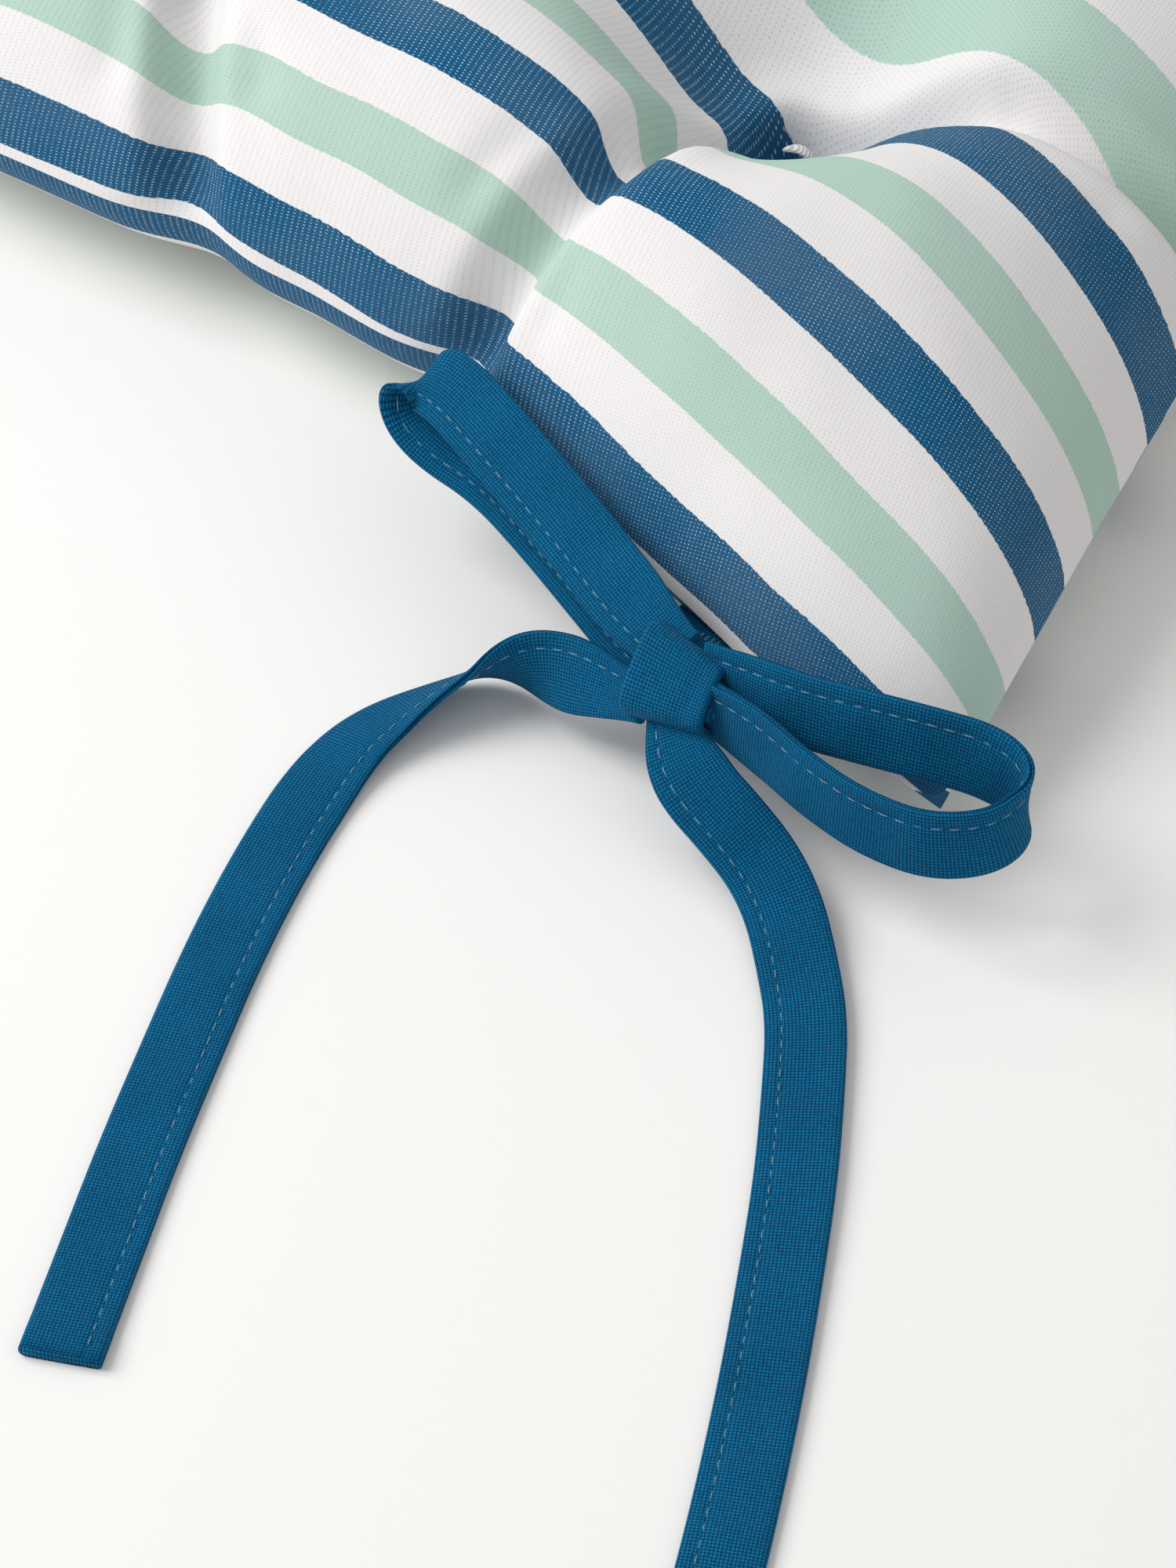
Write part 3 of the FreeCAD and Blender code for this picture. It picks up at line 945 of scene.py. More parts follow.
    def sew_panel(self, panel: Panel, material: bpy.types.Material) -> bpy.types.Object:
        """Makes one panel's object from its simulated points.

        Args:
            panel: Which panel.
            material: The cloth's material.

        Returns:
            The panel, riding on the pad.
        """
        if panel is Panel.TOP:
            name, turned_in = "top_cover_panel", -self.first_stripe
            points = self.top.copy()
            points[..., 2] += self.unevenness(points) * ~self.edge_mask(len(points))
        else:
            name, turned_in = "bottom_cover_panel", self.under_stripe
            points = self.bottom
        size = self.cells + 1
        numbers = np.arange(size * size).reshape(size, size)
        faces = self.grid_faces(numbers, panel is Panel.BOTTOM)
        line = np.linspace(0, self.panel, size)
        across = self.panel - line + turned_in
        places = np.stack(np.meshgrid(line, across, indexing="ij"), axis=-1).reshape(-1, 2)
        cloth = places[np.array(faces).ravel()]
        piece = make_mesh(name, points.reshape(-1, 3), faces, cloth)
        dress(piece, material)
        smoother = piece.modifiers.new("smoother", "SUBSURF")
        smoother.levels = smoother.render_levels = 1
        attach(piece, "pad")
        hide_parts("top_cover" if panel is Panel.TOP else "bottom_cover")
        return piece

    def build(self, material: bpy.types.Material) -> list[bpy.types.Object]:
        """Blows the cover up and makes both panels.

        Args:
            material: The cloth's material.

        Returns:
            The two panels.
        """
        self.blow_up()
        return [self.sew_panel(panel, material) for panel in Panel]

    def tuft_indices(self) -> list[tuple[int, int]]:
        """Grid places of the nine tufts."""
        quarter = self.cells // 4
        return [(i * quarter, j * quarter) for i in (1, 2, 3) for j in (1, 2, 3)]

    def edge_line(self) -> np.ndarray:
        """Points of the seam, once round the pad."""
        last = self.cells
        back = [(i, last) for i in range(last)]
        right = [(last, last - i) for i in range(last)]
        front = [(last - i, 0) for i in range(last)]
        left = [(0, i) for i in range(last)]
        return np.array([self.top[i, j] for i, j in back + right + front + left])


@dataclass
class Wadding:
    """Three layers of fibre between the two panels."""

    shares: dict[str, tuple[float, float]] = field(
        default_factory=lambda: {
            "lower_wadding": (0.05, 0.30),
            "core_wadding": (0.34, 0.62),
            "upper_wadding": (0.66, 0.90),
        }
    )
    margin: int = 12  # grid cells left free along the seam
    step: int = 6
    clear: float = 1.0 * MM  # kept free under the top panel
    thinnest: float = 4.0 * MM  # all layers together

    def build(self, cover: PadCover, material: bpy.types.Material) -> list[bpy.types.Object]:
        """Makes the layers from the cover's own shape.

        Args:
            cover: The shaped cover.
            material: The fibre's material.

        Returns:
            The layers, from the lowest up.
        """
        rows = list(range(self.margin, cover.cells - self.margin + 1, self.step))
        top = cover.top[np.ix_(rows, rows)].copy()
        bottom = cover.bottom[np.ix_(rows, rows)]
        size = len(rows)
        reach = range(-self.step, self.step + 1)
        around = [np.roll(cover.top[..., 2], (di, dj), (0, 1)) for di in reach for dj in reach]
        top[..., 2] = np.minimum.reduce(around)[np.ix_(rows, rows)] - self.clear
        top[..., 2] = np.maximum(top[..., 2], bottom[..., 2] + self.thinnest)
        layers = []
        for name, (low, high) in self.shares.items():
            lower, upper = bottom + (top - bottom) * low, bottom + (top - bottom) * high
            points = np.concatenate([lower.reshape(-1, 3), upper.reshape(-1, 3)])
            numbers = np.arange(size * size).reshape(size, size)
            faces = cover.grid_faces(numbers, True) + cover.grid_faces(numbers + size * size, False)
            rim = [*numbers[:-1, 0], *numbers[-1, :-1], *numbers[:0:-1, -1], *numbers[0, :0:-1]]
            for here, there in zip(rim, rim[1:] + rim[:1]):
                faces.append((int(here), int(there), int(there) + size * size, int(here) + size * size))
            layer = make_mesh(f"{name}_layer", points, faces)
            dress(layer, material)
            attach(layer, "pad")
            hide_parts(name)
            layers.append(layer)
        return layers


@dataclass
class PadStitching:
    """Tufting twine, tuft stitches, the seam's stitches and the closing stitches."""

    twine_radius: float = 0.8 * MM
    tuft_stitch: float = 7.0 * MM
    tuft_rise: float = 0.6 * MM  # how far a tuft's stitch stands off the cloth
    thread_radius: float = 0.3 * MM
    seam_inset: float = 5.0 * MM
    seam_stitch_share: float = 0.66  # of a step along the seam
    closing_count: int = 12
    closing_pitch: float = 9.0 * MM
    closing_length: float = 5.0 * MM
    closing_slant: float = 1.2 * MM

    def tufts(self, cover: PadCover, material: bpy.types.Material) -> list[bpy.types.Object]:
        """Makes the twines through the pad and the stitch at each end of each.

        Args:
            cover: The shaped cover.
            material: The twine's material.

        Returns:
            The twines, the top stitches and the bottom stitches.
        """
        twines = StitchRow("tufting_twines", self.twine_radius, 0.0, rings=15)
        over = StitchRow("tuft_stitches_over", self.twine_radius, 0.9 * MM, rings=11)
        under = StitchRow("tuft_stitches_under", self.twine_radius, 0.6 * MM, rings=11)
        up, half = np.array([0.0, 0.0, 1.0]), np.array([self.tuft_stitch / 2, 0.0, 0.0])
        rise = up * self.tuft_rise
        for i, j in cover.tuft_indices():
            high, low = cover.top[i, j], cover.bottom[i, j]
            twines.add(low, high, np.array([1.0, 0.0, 0.0]))
            over.add(high - half + rise, high + half + rise, up)
            under.add(low + half - rise, low - half - rise, -up)
        made = []
        nodes = ("tuft_threads", "tuft_stitches_top", "tuft_stitches_bottom")
        for row, node in zip((twines, over, under), nodes):
            piece = row.build(material, "tufting_twine")
            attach(piece, "pad")
            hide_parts(node)
            made.append(piece)
        return made

    def seam(self, cover: PadCover, material: bpy.types.Material) -> bpy.types.Object:
        """Makes the row of stitches that joins the panels, inside the turned-in edge.

        Args:
            cover: The shaped cover.
            material: The thread's material.

        Returns:
            The row of stitches.
        """
        row = StitchRow("seam_stitch_row", self.thread_radius, 0.0, rings=3, sides=6)
        line = cover.edge_line()
        line = line + direction(-line * np.array([1.0, 1.0, 0.0])) * self.seam_inset
        for here, there in zip(line, np.roll(line, -1, axis=0)):
            middle, half = (here + there) / 2, (there - here) * self.seam_stitch_share / 2
            row.add(middle - half, middle + half, np.array([0.0, 0.0, 1.0]))
        piece = row.build(material, "sewing_thread")
        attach(piece, "pad")
        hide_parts("seam_stitching")
        return piece

    def closing(self, cover: PadCover, material: bpy.types.Material) -> bpy.types.Object:
        """Makes the hand stitches over the front seam, where the pad was filled.

        Args:
            cover: The shaped cover.
            material: The thread's material.

        Returns:
            The stitches.
        """
        row = StitchRow("closing_stitch_row", self.thread_radius, 0.3 * MM, rings=7)
        front = cover.top[:, 0]
        for number in range(self.closing_count):
            x = (number - (self.closing_count - 1) / 2) * self.closing_pitch
            ends = []
            for offset in (-self.closing_length / 2, self.closing_length / 2):
                place = read_at(x + offset, front[:, 0], front)
                ends.append(place + np.array([0.0, -0.2 * MM, (offset > 0) * self.closing_slant]))
            row.add(ends[0], ends[1], np.array([0.0, -1.0, 0.0]))
        piece = row.build(material, "sewing_thread")
        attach(piece, "pad")
        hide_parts("closing_stitches")
        return piece


TOWARDS_VIEWER = (-0.4155, 0.572, 0.707)
LEANING_ON_PAD = (0.344, 0.819, -0.460)
STANDING = (0.072, -0.099, 0.992)
STANDING_TILTED = (0.201, -0.277, 0.940)


@dataclass(frozen=True)
class TapeRoute:
    """Route of one free tape of the left bow, in millimetres.

    X and Y are measured from the middle of the knot, +X towards the middle of the pad, and Z is
    the height above the table. Each facing is a point's number and the direction in which the
    tape's sewn edge lies there.
    """

    node: str
    body: str
    length: float
    far_end: str
    points: tuple[Triple, ...]
    facings: tuple[tuple[float, Triple], ...]
    exit_point: Triple
    narrow_start: float = 0.72
    narrow_end: float = 1.0
    hemmed: bool = False


ROUTES = (
    TapeRoute(
        "inner_loop", "bow", 0.143, "object",
        (
            (2.5, -2.6, 20.6),
            (7.8, -4.1, 21.5),
            (17.0, -7.9, 22.3),
            (28.5, -12.9, 23.6),
            (41.0, -17.7, 25.0),
            (53.0, -22.1, 26.4),
            (61.0, -25.0, 27.0),
            (67.0, -26.2, 26.0),
            (68.0, -24.0, 22.0),
            (62.5, -22.6, 19.0),
            (50.0, -21.5, 18.3),
            (36.5, -16.3, 18.0),
            (22.5, -10.2, 17.5),
            (7.8, -3.8, 16.9),
            (2.5, -1.6, 16.1),
        ),
        ((0, LEANING_ON_PAD), (14, LEANING_ON_PAD)),
        (7.8, -4.1, 21.5), 0.78, 0.78,
    ),
    TapeRoute(
        "outer_loop", "bow", 0.119, "object",
        (
            (-2.5, 0.8, 17.8),
            (-7.8, 1.0, 17.4),
            (-17.0, 2.9, 17.6),
            (-27.0, 5.5, 17.0),
            (-38.0, 7.2, 17.1),
            (-49.0, 6.0, 17.6),
            (-57.0, 0.0, 19.0),
            (-57.4, -7.3, 21.4),
            (-50.0, -9.5, 23.0),
            (-39.0, -6.3, 23.6),
            (-28.0, -3.5, 23.3),
            (-18.0, -1.9, 22.3),
            (-7.8, -2.5, 21.3),
            (-2.5, -2.4, 20.8),
        ),
        ((0, STANDING), (6, STANDING), (8, STANDING_TILTED), (13, STANDING_TILTED)),
        (-7.8, 1.0, 17.4), 0.78, 0.78,
    ),
    TapeRoute(
        "inner_tail", "inner_tail", 0.180, "bare",
        (
            (4.5, 2.8, 14.6),
            (8.1, 2.8, 13.6),
            (17.0, 2.1, 11.8),
            (25.5, 1.7, 9.2),
            (33.0, 4.9, 6.4),
            (37.5, 11.1, 4.0),
            (41.0, 18.5, 2.3),
            (42.5, 27.5, 1.2),
            (40.5, 39.5, 0.9),
            (36.7, 54.5, 0.9),
            (31.3, 71.5, 0.9),
            (24.5, 89.5, 0.9),
            (17.2, 108.5, 0.9),
            (9.4, 127.0, 0.9),
            (2.0, 144.5, 1.3),
        ),
        (
            (0, (0.415, -0.573, 0.707)),
            (2, (0.30, -0.45, 0.80)),
            (4, TOWARDS_VIEWER),
            (6, (-0.85, 0.10, 0.35)),
            (8, (-0.98, -0.20, 0.0)),
            (14, (-0.92, -0.39, 0.0)),
        ),
        (8.1, 2.8, 13.6), 0.62, 1.0, True,
    ),
    TapeRoute(
        "outer_tail", "outer_tail", 0.181, "bare",
        (
            (1.0, 1.0, 14.8),
            (-3.0, 6.4, 13.9),
            (-10.0, 10.4, 11.4),
            (-17.4, 11.7, 8.6),
            (-24.8, 13.5, 5.6),
            (-31.2, 17.3, 3.2),
            (-37.6, 23.5, 2.1),
            (-45.4, 32.0, 1.5),
            (-53.0, 44.0, 1.3),
            (-61.4, 58.0, 1.2),
            (-69.9, 74.0, 1.0),
            (-78.6, 91.0, 0.9),
            (-87.0, 108.5, 0.9),
            (-94.4, 125.0, 0.9),
            (-101.0, 140.5, 1.3),
        ),
        (
            (0, (0.344, 0.767, -0.418)),
            (3, (0.50, 0.75, -0.30)),
            (6, (0.75, 0.62, -0.10)),
            (9, (0.88, 0.46, -0.10)),
            (14, (0.90, 0.43, 0.0)),
        ),
        (-4.0, 8.7, 13.2), 0.62, 1.0, True,
    ),
)


@dataclass
class Tape:
    """A folded flat tape with one open, topstitched edge, laid along a route."""

    half_width: float = 6.0 * MM
    stitch_line: float = 3.4 * MM  # middle of the tape to its row of topstitching
    stitch_pitch: float = 2.8 * MM
    stitch_length: float = 1.8 * MM
    thread_radius: float = 0.12 * MM
    narrowing: float = 15.0 * MM  # length over which a tape gathers into its knot
    hem: float = 5.0 * MM
    hem_fullness: float = 1.5
    ripple: float = 0.125 * MM  # height of the tape's slow waves, and their lengths
    ripples: Triple = (0.019, 0.033, 0.011)
    face_height: float = 0.66 * MM  # middle of the tape to the foot of its topstitching
    gathered: float = 0.35  # how much thicker a tape is where it enters its knot
    hem_rise: float = 0.8 * MM
    root_lift: float = 0.8 * MM  # half the spacing of the two tape ends in the seam
    root_inside: float = 6.0 * MM
    root_width: float = 0.72  # share of the full width at the knot
    root_narrowing: float = 9.0 * MM
    tack_half: float = 4.0 * MM
    tack_stitches: int = 9
    tack_thread_radius: float = 0.2 * MM

    @staticmethod
    def section() -> np.ndarray:
        """Outline of the tape, in millimetres: across it and through it.

        Returns:
            The outline's points, once round, from the slot in the open edge.
        """
        upper = [
            (4.9, 0.0), (5.75, 0.13), (5.97, 0.36), (5.78, 0.60), (5.2, 0.70), (4.3, 0.72), (3.7, 0.68),
            (3.4, 0.54), (3.1, 0.68), (2.2, 0.72), (0.6, 0.70), (-1.4, 0.70), (-3.4, 0.72), (-5.0, 0.72),
            (-5.7, 0.58), (-6.0, 0.25),
        ]
        lower = [(w, -n) for w, n in reversed(upper[1:])]
        return np.array(upper + lower) * MM

    @staticmethod
    def follow(name: str, points: list[Triple]) -> np.ndarray:
        """Reads the smooth line of a route from its NURBS spline.

        Args:
            name: A name for the spline.
            points: The route's points, in metres.

        Returns:
            The line's points.
        """
        curve = bpy.data.curves.new(name, "CURVE")
        curve.dimensions = "3D"
        spline = curve.splines.new("NURBS")
        spline.points.add(len(points) - 1)
        for knot, point in zip(spline.points, points):
            knot.co = (*point, 1.0)
        spline.order_u = 3
        spline.use_endpoint_u = True
        spline.resolution_u = 16
        holder = bpy.data.objects.new(name, curve)
        mesh = bpy.data.meshes.new_from_object(holder)
        line = np.array([vertex.co for vertex in mesh.vertices], float)
        bpy.data.meshes.remove(mesh)
        bpy.data.objects.remove(holder)
        bpy.data.curves.remove(curve)
        return line

    @staticmethod
    def axes(line: np.ndarray, facings: list[tuple[float, Triple]], count: int) -> Axes:
        """Directions along, across and through the tape at each point of its line.

        Args:
            line: The line's points.
            facings: Route point numbers and the sewn edge's direction there.
            count: How many points the route has.

        Returns:
            The three directions.
        """
        along = direction(np.gradient(line, axis=0))
        at = np.linspace(0, count - 1, len(line))
        knots = [number for number, _ in facings]
        hints = np.stack([np.interp(at, knots, [d[k] for _, d in facings]) for k in range(3)], axis=1)
        across = direction(hints - along * (hints * along).sum(1)[:, None])
        smoothings = 6
        for _ in range(smoothings):
            across[1:-1] = (across[:-2] + 2 * across[1:-1] + across[2:]) / 4
        across = direction(across - along * (across * along).sum(1)[:, None])
        return along, across, np.cross(along, across)

    def sweep(
        self, name: str, line: np.ndarray, axes: Axes, widths: np.ndarray, fullness: np.ndarray
    ) -> bpy.types.Object:
        """Sweeps the tape's outline along a line.

        Args:
            name: The piece's name.
            line: The line's points.
            axes: Directions along, across and through the tape.
            widths: Share of the full width at each point.
            fullness: Share of the plain thickness at each point.

        Returns:
            The tape.
        """
        section = self.section()
        _, across, through = axes
        chance = np.random.default_rng(len(line))
        far = distances(line)
        ripple = sum(
            self.ripple * np.sin(2 * math.pi * far / length + chance.uniform(0, 6.28))
            for length in self.ripples
        )
        camber = 1 - (section[:, 0] / self.half_width) ** 2
        sideways = section[None, :, 0] * widths[:, None]
        outward = section[None, :, 1] * fullness[:, None] + camber[None, :] * ripple[:, None]
        points = line[:, None, :] + across[:, None, :] * sideways[..., None]
        points += through[:, None, :] * outward[..., None]
        rings, sides = points.shape[:2]
        around = distances(np.concatenate([section, section[:1]]))
        faces, cloth = [], []
        for i in range(rings - 1):
            for j in range(sides):
                after = (j + 1) % sides
                here, there = i * sides, (i + 1) * sides
                faces.append((here + j, here + after, there + after, there + j))
                corners = ((i, j), (i, j + 1), (i + 1, j + 1), (i + 1, j))
                cloth += [(far[row], around[column]) for row, column in corners]
        last = (rings - 1) * sides
        faces.append(tuple(reversed(range(sides))))
        cloth += [(section[j, 1], section[j, 0]) for j in reversed(range(sides))]
        faces.append(tuple(last + j for j in range(sides)))
        cloth += [(section[j, 1], section[j, 0]) for j in range(sides)]
        return make_mesh(name, points.reshape(-1, 3), faces, np.array(cloth))

    def topstitch(
        self, name: str, line: np.ndarray, axes: Axes, widths: np.ndarray, fullness: np.ndarray,
        material: bpy.types.Material,
    ) -> bpy.types.Object:
        """Makes the row of topstitching on both faces of a tape.

        Args:
            name: The piece's name.
            line: The tape's line.
            axes: Directions along, across and through the tape.
            widths: Share of the full width at each point.
            fullness: Share of the plain thickness at each point.
            material: The thread's material.

        Returns:
            The stitches.
        """
        row = StitchRow(name, self.thread_radius, 0.06 * MM, rings=5, sides=6)
        _, across, through = axes
        far = distances(line)
        for face in (1, -1):
            rail = line + across * (self.stitch_line * widths)[:, None]
            rail += through * (self.face_height * face * fullness)[:, None]
            start = 2.0 * MM
            while start + self.stitch_length < far[-1] - 1.0 * MM:
                end = read_at(start + self.stitch_length, far, rail)
                row.add(read_at(start, far, rail), end, read_at(start, far, through) * face)
                start += self.stitch_pitch
        return row.build(material, "sewing_thread")

    def lay(
        self, route: TapeRoute, side: Side, knot: Vector, canvas: bpy.types.Material,
        thread: bpy.types.Material,
    ) -> bpy.types.Object:
        """Args:
            route: The tape's route at the left corner.
            side: Which corner.
            knot: Middle of this corner's knot.
            canvas: The tape's material.
            thread: The topstitching's material.

        Returns:
            The tape.
        """
        node = f"{side.name.lower()}_{route.node}"
        turn = -side.value

        def place(point: Triple) -> Triple:
            """A route point in the row frame."""
            return (knot.x + turn * point[0] * MM, knot.y + point[1] * MM, point[2] * MM)

        line = self.follow(node, [place(point) for point in route.points])
        facings = [(number, (turn * d[0], d[1], d[2])) for number, d in route.facings]
        axes = self.axes(line, facings, len(route.points))
        far = distances(line)
        from_start, from_end = ease(far / self.narrowing), ease((far[-1] - far) / self.narrowing)
        widths = (route.narrow_start + (1 - route.narrow_start) * from_start) * (
            route.narrow_end + (1 - route.narrow_end) * from_end
        )
        fullness = 1.0 + self.gathered * (1 - from_start)
        if route.hemmed:
            fullness = fullness + (self.hem_fullness - 1) * ease((far - far[-1] + self.hem) / self.hem_rise)
        piece = self.sweep(f"{node}_tape", line, axes, widths, fullness)
        dress(piece, canvas)
        stitches = self.topstitch(f"{node}_topstitch", line, axes, widths, fullness, thread)
        body = f"{side.name.lower()}_{route.body}"
        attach(piece, body)
        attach(stitches, body)
        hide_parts(node)
        return piece

    def root(
        self, layer: str, side: Side, seam: np.ndarray, knot: Vector, canvas: bpy.types.Material
    ) -> bpy.types.Object:
        """Makes the sewn-in end of a tape, from inside the seam to the knot.

        Args:
            layer: "upper" or "lower".
            side: Which corner.
            seam: Point of the seam where the tapes come out.
            knot: Middle of this corner's knot.
            canvas: The tape's material.

        Returns:
            The tape end, bending between the pad and the bow.
        """
        node = f"{side.name.lower()}_{layer}_tie_root"
        x, y, z = seam
        lift = self.root_lift if layer == "upper" else -self.root_lift
        end_y = knot.y - 4 * MM
        points = [
            (x, y - self.root_inside, z),
            (x, y - 1 * MM, z + lift),
            (x, (y + end_y) / 2, z + 1.5 * lift),
            (x, end_y, knot.z - 2 * MM + lift),
        ]
        line = self.follow(node, points)
        across = (-side.value, 0.0, 0.0)
        axes = self.axes(line, [(0, across), (3, across)], len(points))
        far = distances(line)
        widths = self.root_width + (1 - self.root_width) * ease((far[-1] - far) / self.root_narrowing)
        piece = self.sweep(f"{node}_tape", line, axes, widths, np.ones(len(line)))
        dress(piece, canvas)
        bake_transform(piece)
        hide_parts(node)
        return piece

    def tack(self, side: Side, seam: np.ndarray, thread: bpy.types.Material) -> bpy.types.Object:
        """Makes the close stitches across the upper tape end, just outside the seam.

        Args:
            side: Which corner.
            seam: Point of the seam where the tapes come out.
            thread: The thread's material.

        Returns:
            The stitches.
        """
        name = side.name.lower()
        row = StitchRow(f"{name}_bar_tack_stitches", self.tack_thread_radius, 0.1 * MM, rings=5, sides=6)
        first = seam + np.array([0.0, 0.3 * MM, self.root_lift + 0.75 * MM])
        run = np.array([0.0, 2.0 * MM, 0.2 * MM])
        for place in np.linspace(-self.tack_half, self.tack_half, self.tack_stitches):
            start = first + np.array([place, 0.0, 0.0])
            row.add(start, start + run, np.array([0.0, 0.0, 1.0]))
        piece = row.build(thread, "sewing_thread")
        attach(piece, "pad")
        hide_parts(f"{name}_bar_tack")
        return piece


@dataclass
class BowKnot:
    """A tape wrapped once over the crossing of the loops and tails."""

    half_band: float = 7.0 * MM
    half_height: float = 6.4 * MM
    half_depth: float = 4.6 * MM
    taper: float = 0.17  # how much taller the knot is at its inner end than in its middle
    tilt: float = math.radians(39.0)  # the band's broad face leans back this much from level
    thickness: float = 1.4 * MM
    around: int = 72
    across: int = 14
    pleat: float = 0.40 * MM
    pleat_place: float = -0.58  # across the band, -1 being its outer end
    pleat_bend: float = 0.15
    pleat_spread: float = 0.20
    lean: float = 0.10  # how far the band slants, in its own height
    core_reach: float = 1.22  # half length of the bundle inside, in half widths of the band
    core_share: float = 0.86
    core_stack: int = 10
    core_ring: int = 32

    def path(self, angle: float, share: float, sink: float) -> tuple[float, float]:
        """Place on the wrapped band's path.

        Args:
            angle: How far round.
            share: Where across the band, from -1 at the outer end to 1 at the inner end.
            sink: How far inside the outer face.

        Returns:
            Height on the broad face and depth behind it.
        """
        tall = self.half_height * (1 + self.taper * share) - sink
        deep = self.half_depth * (1 + 0.06 * share) - sink
        power = 2 / 3.4
        rise = math.copysign(abs(math.cos(angle)) ** power, math.cos(angle)) * tall
        back = math.copysign(abs(math.sin(angle)) ** power, math.sin(angle)) * deep
        away = (share - self.pleat_place + self.pleat_bend * math.cos(angle)) / self.pleat_spread
        return rise, back - self.pleat * math.exp(-(away**2)) * max(0.0, math.sin(angle))

    def build(self, side: Side, knot: Vector, canvas: bpy.types.Material) -> bpy.types.Object:
        """Makes the knot and the bundle of tape inside it.

        Args:
            side: Which corner.
            knot: Middle of the knot.
            canvas: The tape's material.

        Returns:
            The knot.
        """
        turn = -side.value
        points, faces, cloth = [], [], []

        def skin(base: int, rings: int, sides: int, closed: bool, places: list[list[Place]]) -> None:
            """Joins rings of points by faces, with the weave's place at each corner.

            Args:
                base: Number of the first point.
                rings: How many rings of faces there are.
                sides: How many points a ring has.
                closed: Whether the last ring joins the first.
                places: The weave's place, ring by ring and side by side.
            """
            for k in range(rings):
                for j in range(sides):
                    ahead = (k + 1) % rings if closed else k + 1
                    here, there, after = base + k * sides, base + ahead * sides, (j + 1) % sides
                    face = [here + j, here + after, there + after, there + j]
                    uv = [places[k][j], places[k][j + 1], places[k + 1][j + 1], places[k + 1][j]]
                    if (turn < 0) == closed:
                        face.reverse()
                        uv.reverse()
                    faces.append(tuple(face))
                    cloth.extend(uv)

        profile = [(share, 0.0) for share in np.linspace(-0.93, 0.93, self.across)]
        profile += [(1.0, 0.35), (1.0, 0.75), (0.9, 1.0), (-0.9, 1.0), (-1.0, 0.75), (-1.0, 0.35)]
        for k in range(self.around):
            angle = 2 * math.pi * k / self.around
            for share, sink in profile:
                rise, back = self.path(angle, share, sink * self.thickness)
                along = share * self.half_band + self.lean * rise
                points.append(self.placed(knot, turn, along, rise, back))
        outline = [self.path(2 * math.pi * k / self.around, 0.0, 0.0) for k in range(self.around + 1)]
        wrapped = distances(np.array(outline))
        places = [[(j * 0.96 * MM, far) for j in range(len(profile) + 1)] for far in wrapped]
        skin(0, self.around, len(profile), True, places)
        base, ring = len(points), self.core_ring
        for i in range(self.core_stack + 1):
            share = self.core_reach * (2 * i / self.core_stack - 1)
            size = self.core_share * math.sqrt(max(0.0, 1 - (abs(share) / (self.core_reach + 0.02)) ** 6))
            for k in range(ring):
                rise, back = self.path(2 * math.pi * k / ring, share * 0.6, self.thickness)
                points.append(self.placed(knot, turn, share * self.half_band, rise * size, back * size))
        stack = range(self.core_stack + 1)
        places = [[(i * 1.5 * MM, k * 1.0 * MM) for k in range(ring + 1)] for i in stack]
        skin(base, self.core_stack, ring, False, places)
        for start, backward in ((base, turn > 0), (base + self.core_stack * ring, turn < 0)):
            cap = [start + k for k in range(ring)]
            faces.append(tuple(reversed(cap)) if not backward else tuple(cap))
            cloth += [(0.0, k * 1.0 * MM) for k in range(ring)]
        piece = make_mesh(f"{side.name.lower()}_bow_knot_wrap", np.array(points), faces, np.array(cloth))
        dress(piece, canvas)
        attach(piece, f"{side.name.lower()}_bow")
        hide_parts(f"{side.name.lower()}_bow_knot")
        return piece

    def placed(self, knot: Vector, turn: int, along: float, rise: float, back: float) -> Triple:
        """A place on the knot, in the row frame.

        Args:
            knot: Middle of the knot.
            turn: 1 at the left corner and -1 at the right.
            along: Distance towards the middle of the pad.
            rise: Distance up the broad face.
            back: Distance out of the broad face.

        Returns:
            The point.
        """
        lean, stand = math.cos(self.tilt), math.sin(self.tilt)
        y, z = knot.y - lean * rise + stand * back, knot.z + stand * rise + lean * back
        return (knot.x + turn * along, y, z)


@dataclass
class Bow:
    """Everything tied at one back corner."""

    side: Side
    root_slip: float = 6.5 * MM  # tape ends lie this much nearer the pad's middle than the knot
    root_drop: float = 3.5 * MM
    tape: Tape = field(default_factory=Tape)
    wrap: BowKnot = field(default_factory=BowKnot)

    def build(
        self, cover: PadCover, canvas: bpy.types.Material, thread: bpy.types.Material
    ) -> list[bpy.types.Object]:
        """Makes the corner's tapes and knot.

        Args:
            cover: The shaped cover, for the place where the tapes leave its seam.
            canvas: The tapes' material.
            thread: The stitching's material.

        Returns:
            The pieces.
        """
        name = self.side.name.lower()
        low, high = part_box(f"{name}_bow_knot")
        knot = (low + high) / 2
        made = [self.wrap.build(self.side, knot, canvas)]
        made += [self.tape.lay(route, self.side, knot, canvas, thread) for route in ROUTES]
        back = cover.top[:, -1]
        place = knot.x - self.side.value * self.root_slip
        seam = read_at(place, back[:, 0], back)
        seam[2] -= self.root_drop
        made += [self.tape.root(layer, self.side, seam, knot, canvas) for layer in ("upper", "lower")]
        made.append(self.tape.tack(self.side, seam, thread))
        return made


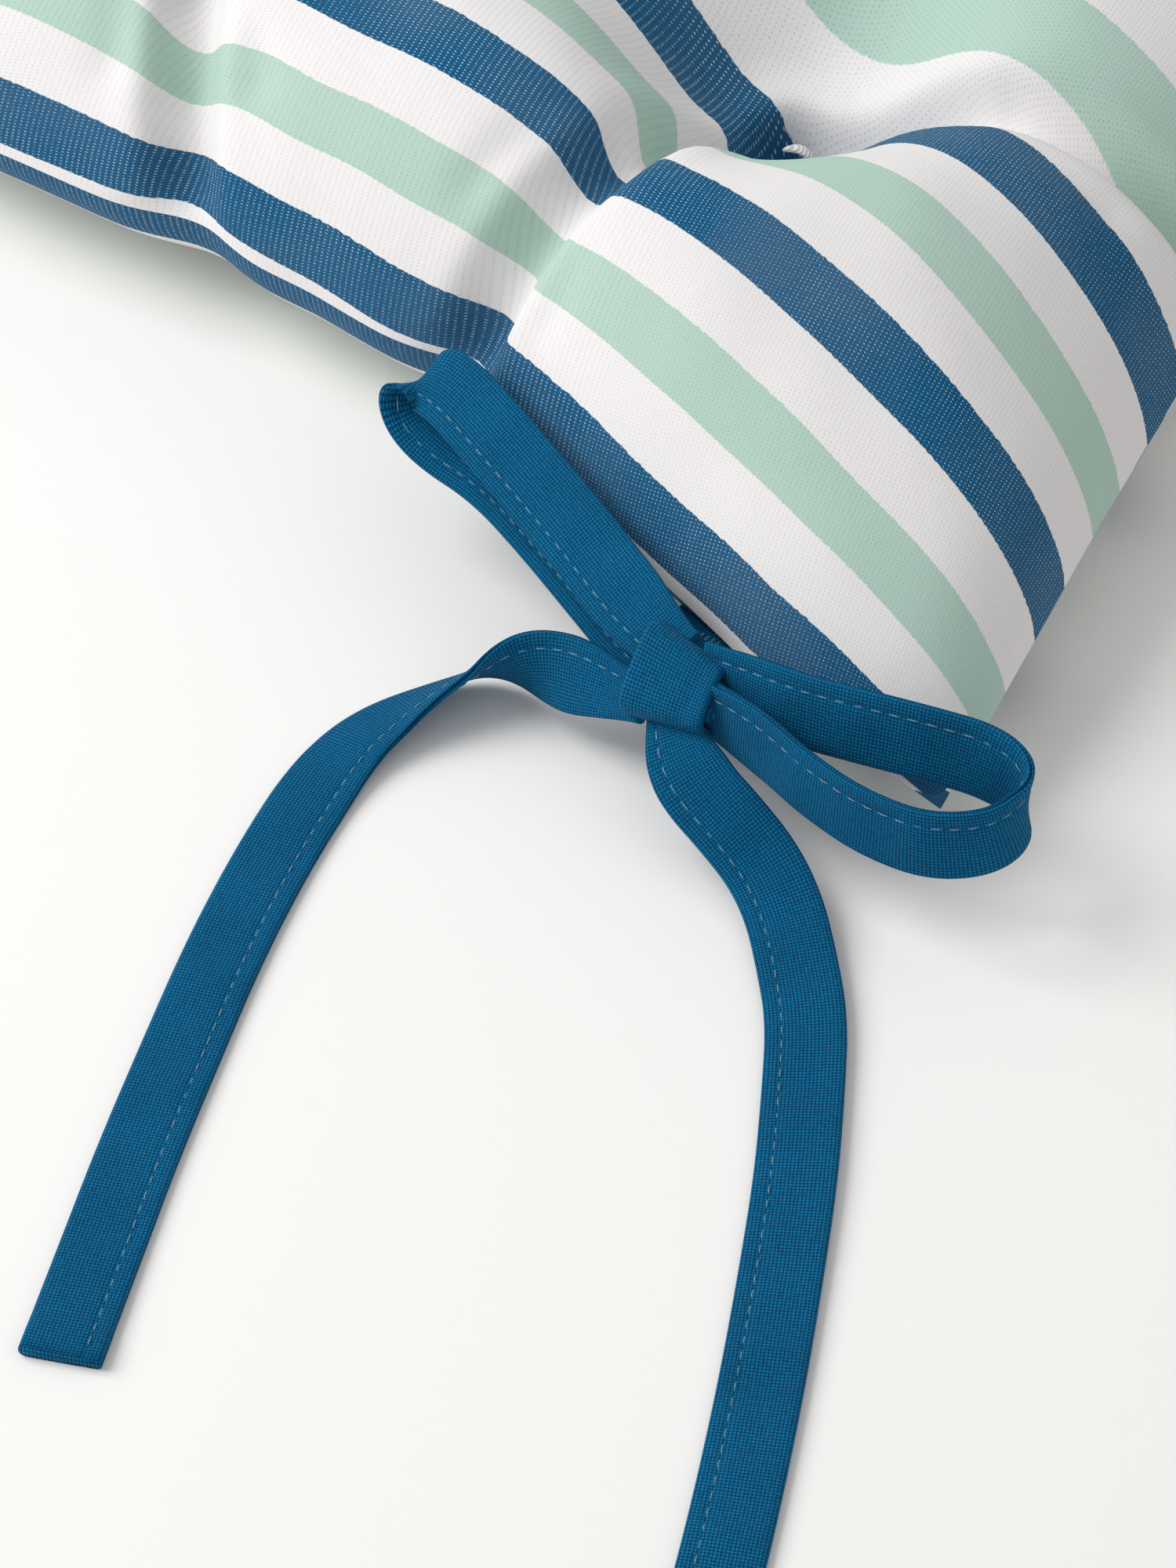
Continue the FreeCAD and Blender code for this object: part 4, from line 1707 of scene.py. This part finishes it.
@dataclass
class Studio:
    """Pale floor, soft light and camera."""

    camera_place: Triple = (-0.5545, 0.776, 0.672)
    aimed_at: Triple = (-0.1595, 0.2319, 0.0)
    lens: float = 145.0
    floor_reach: float = 4.0
    lamp_place: Triple = (0.7, 0.6, 0.9)
    lit_place: Triple = (-0.15, 0.20, 0.0)
    lamp_power: float = 12.5
    lamp_size: float = 0.9
    world_strength: float = 0.56

    def build(self) -> None:
        """Sets up the floor, the lights and the camera."""
        scene = bpy.context.scene
        scene.view_settings.view_transform = "Standard"
        corners = np.array([(-1, -1, 0), (1, -1, 0), (1, 1, 0), (-1, 1, 0)]) * self.floor_reach
        floor = make_mesh("studio_floor", corners, [(0, 1, 2, 3)])
        floor.data.materials.append(StudioPaper().build())
        world = bpy.data.worlds.new("studio")
        scene.world = world
        world.use_nodes = True
        background = world.node_tree.nodes["Background"]
        background.inputs["Color"].default_value = (1.0, 1.0, 1.0, 1.0)
        background.inputs["Strength"].default_value = self.world_strength
        lamp_data = bpy.data.lights.new("soft_box", "AREA")
        lamp_data.energy = self.lamp_power
        lamp_data.size = self.lamp_size
        lamp = bpy.data.objects.new("soft_box", lamp_data)
        self.aim(lamp, self.lamp_place, self.lit_place)
        camera_data = bpy.data.cameras.new("camera")
        camera_data.lens = self.lens
        camera = bpy.data.objects.new("camera", camera_data)
        self.aim(camera, self.camera_place, self.aimed_at)
        scene.camera = camera

    @staticmethod
    def aim(thing: bpy.types.Object, place: Triple, target: Triple) -> None:
        """Puts a lamp or camera in place and turns it to its target."""
        bpy.context.scene.collection.objects.link(thing)
        thing.location = place
        thing.rotation_euler = (Vector(target) - Vector(place)).to_track_quat("-Z", "Y").to_euler()


def report(pieces: list[bpy.types.Object]) -> None:
    """Logs each piece's name and number of points."""
    for piece in pieces:
        LOG.info("%s: %d points", piece.name, len(piece.data.vertices))


def main() -> None:
    """Builds the pad, its stitching, both bows and the studio."""
    logging.basicConfig(level=logging.INFO, format="%(message)s")
    cotton, canvas = StripedCotton().build(), TapeCotton().build()
    thread, twine, fibre = THREAD.build(), TWINE.build(), WaddingFibre().build()
    Studio().build()
    cover = PadCover()
    report(cover.build(cotton))
    report(Wadding().build(cover, fibre))
    stitching = PadStitching()
    report(stitching.tufts(cover, twine))
    report([stitching.seam(cover, thread), stitching.closing(cover, thread)])
    for side in Side:
        report(Bow(side).build(cover, canvas, thread))


if __name__ == "__main__":
    main()
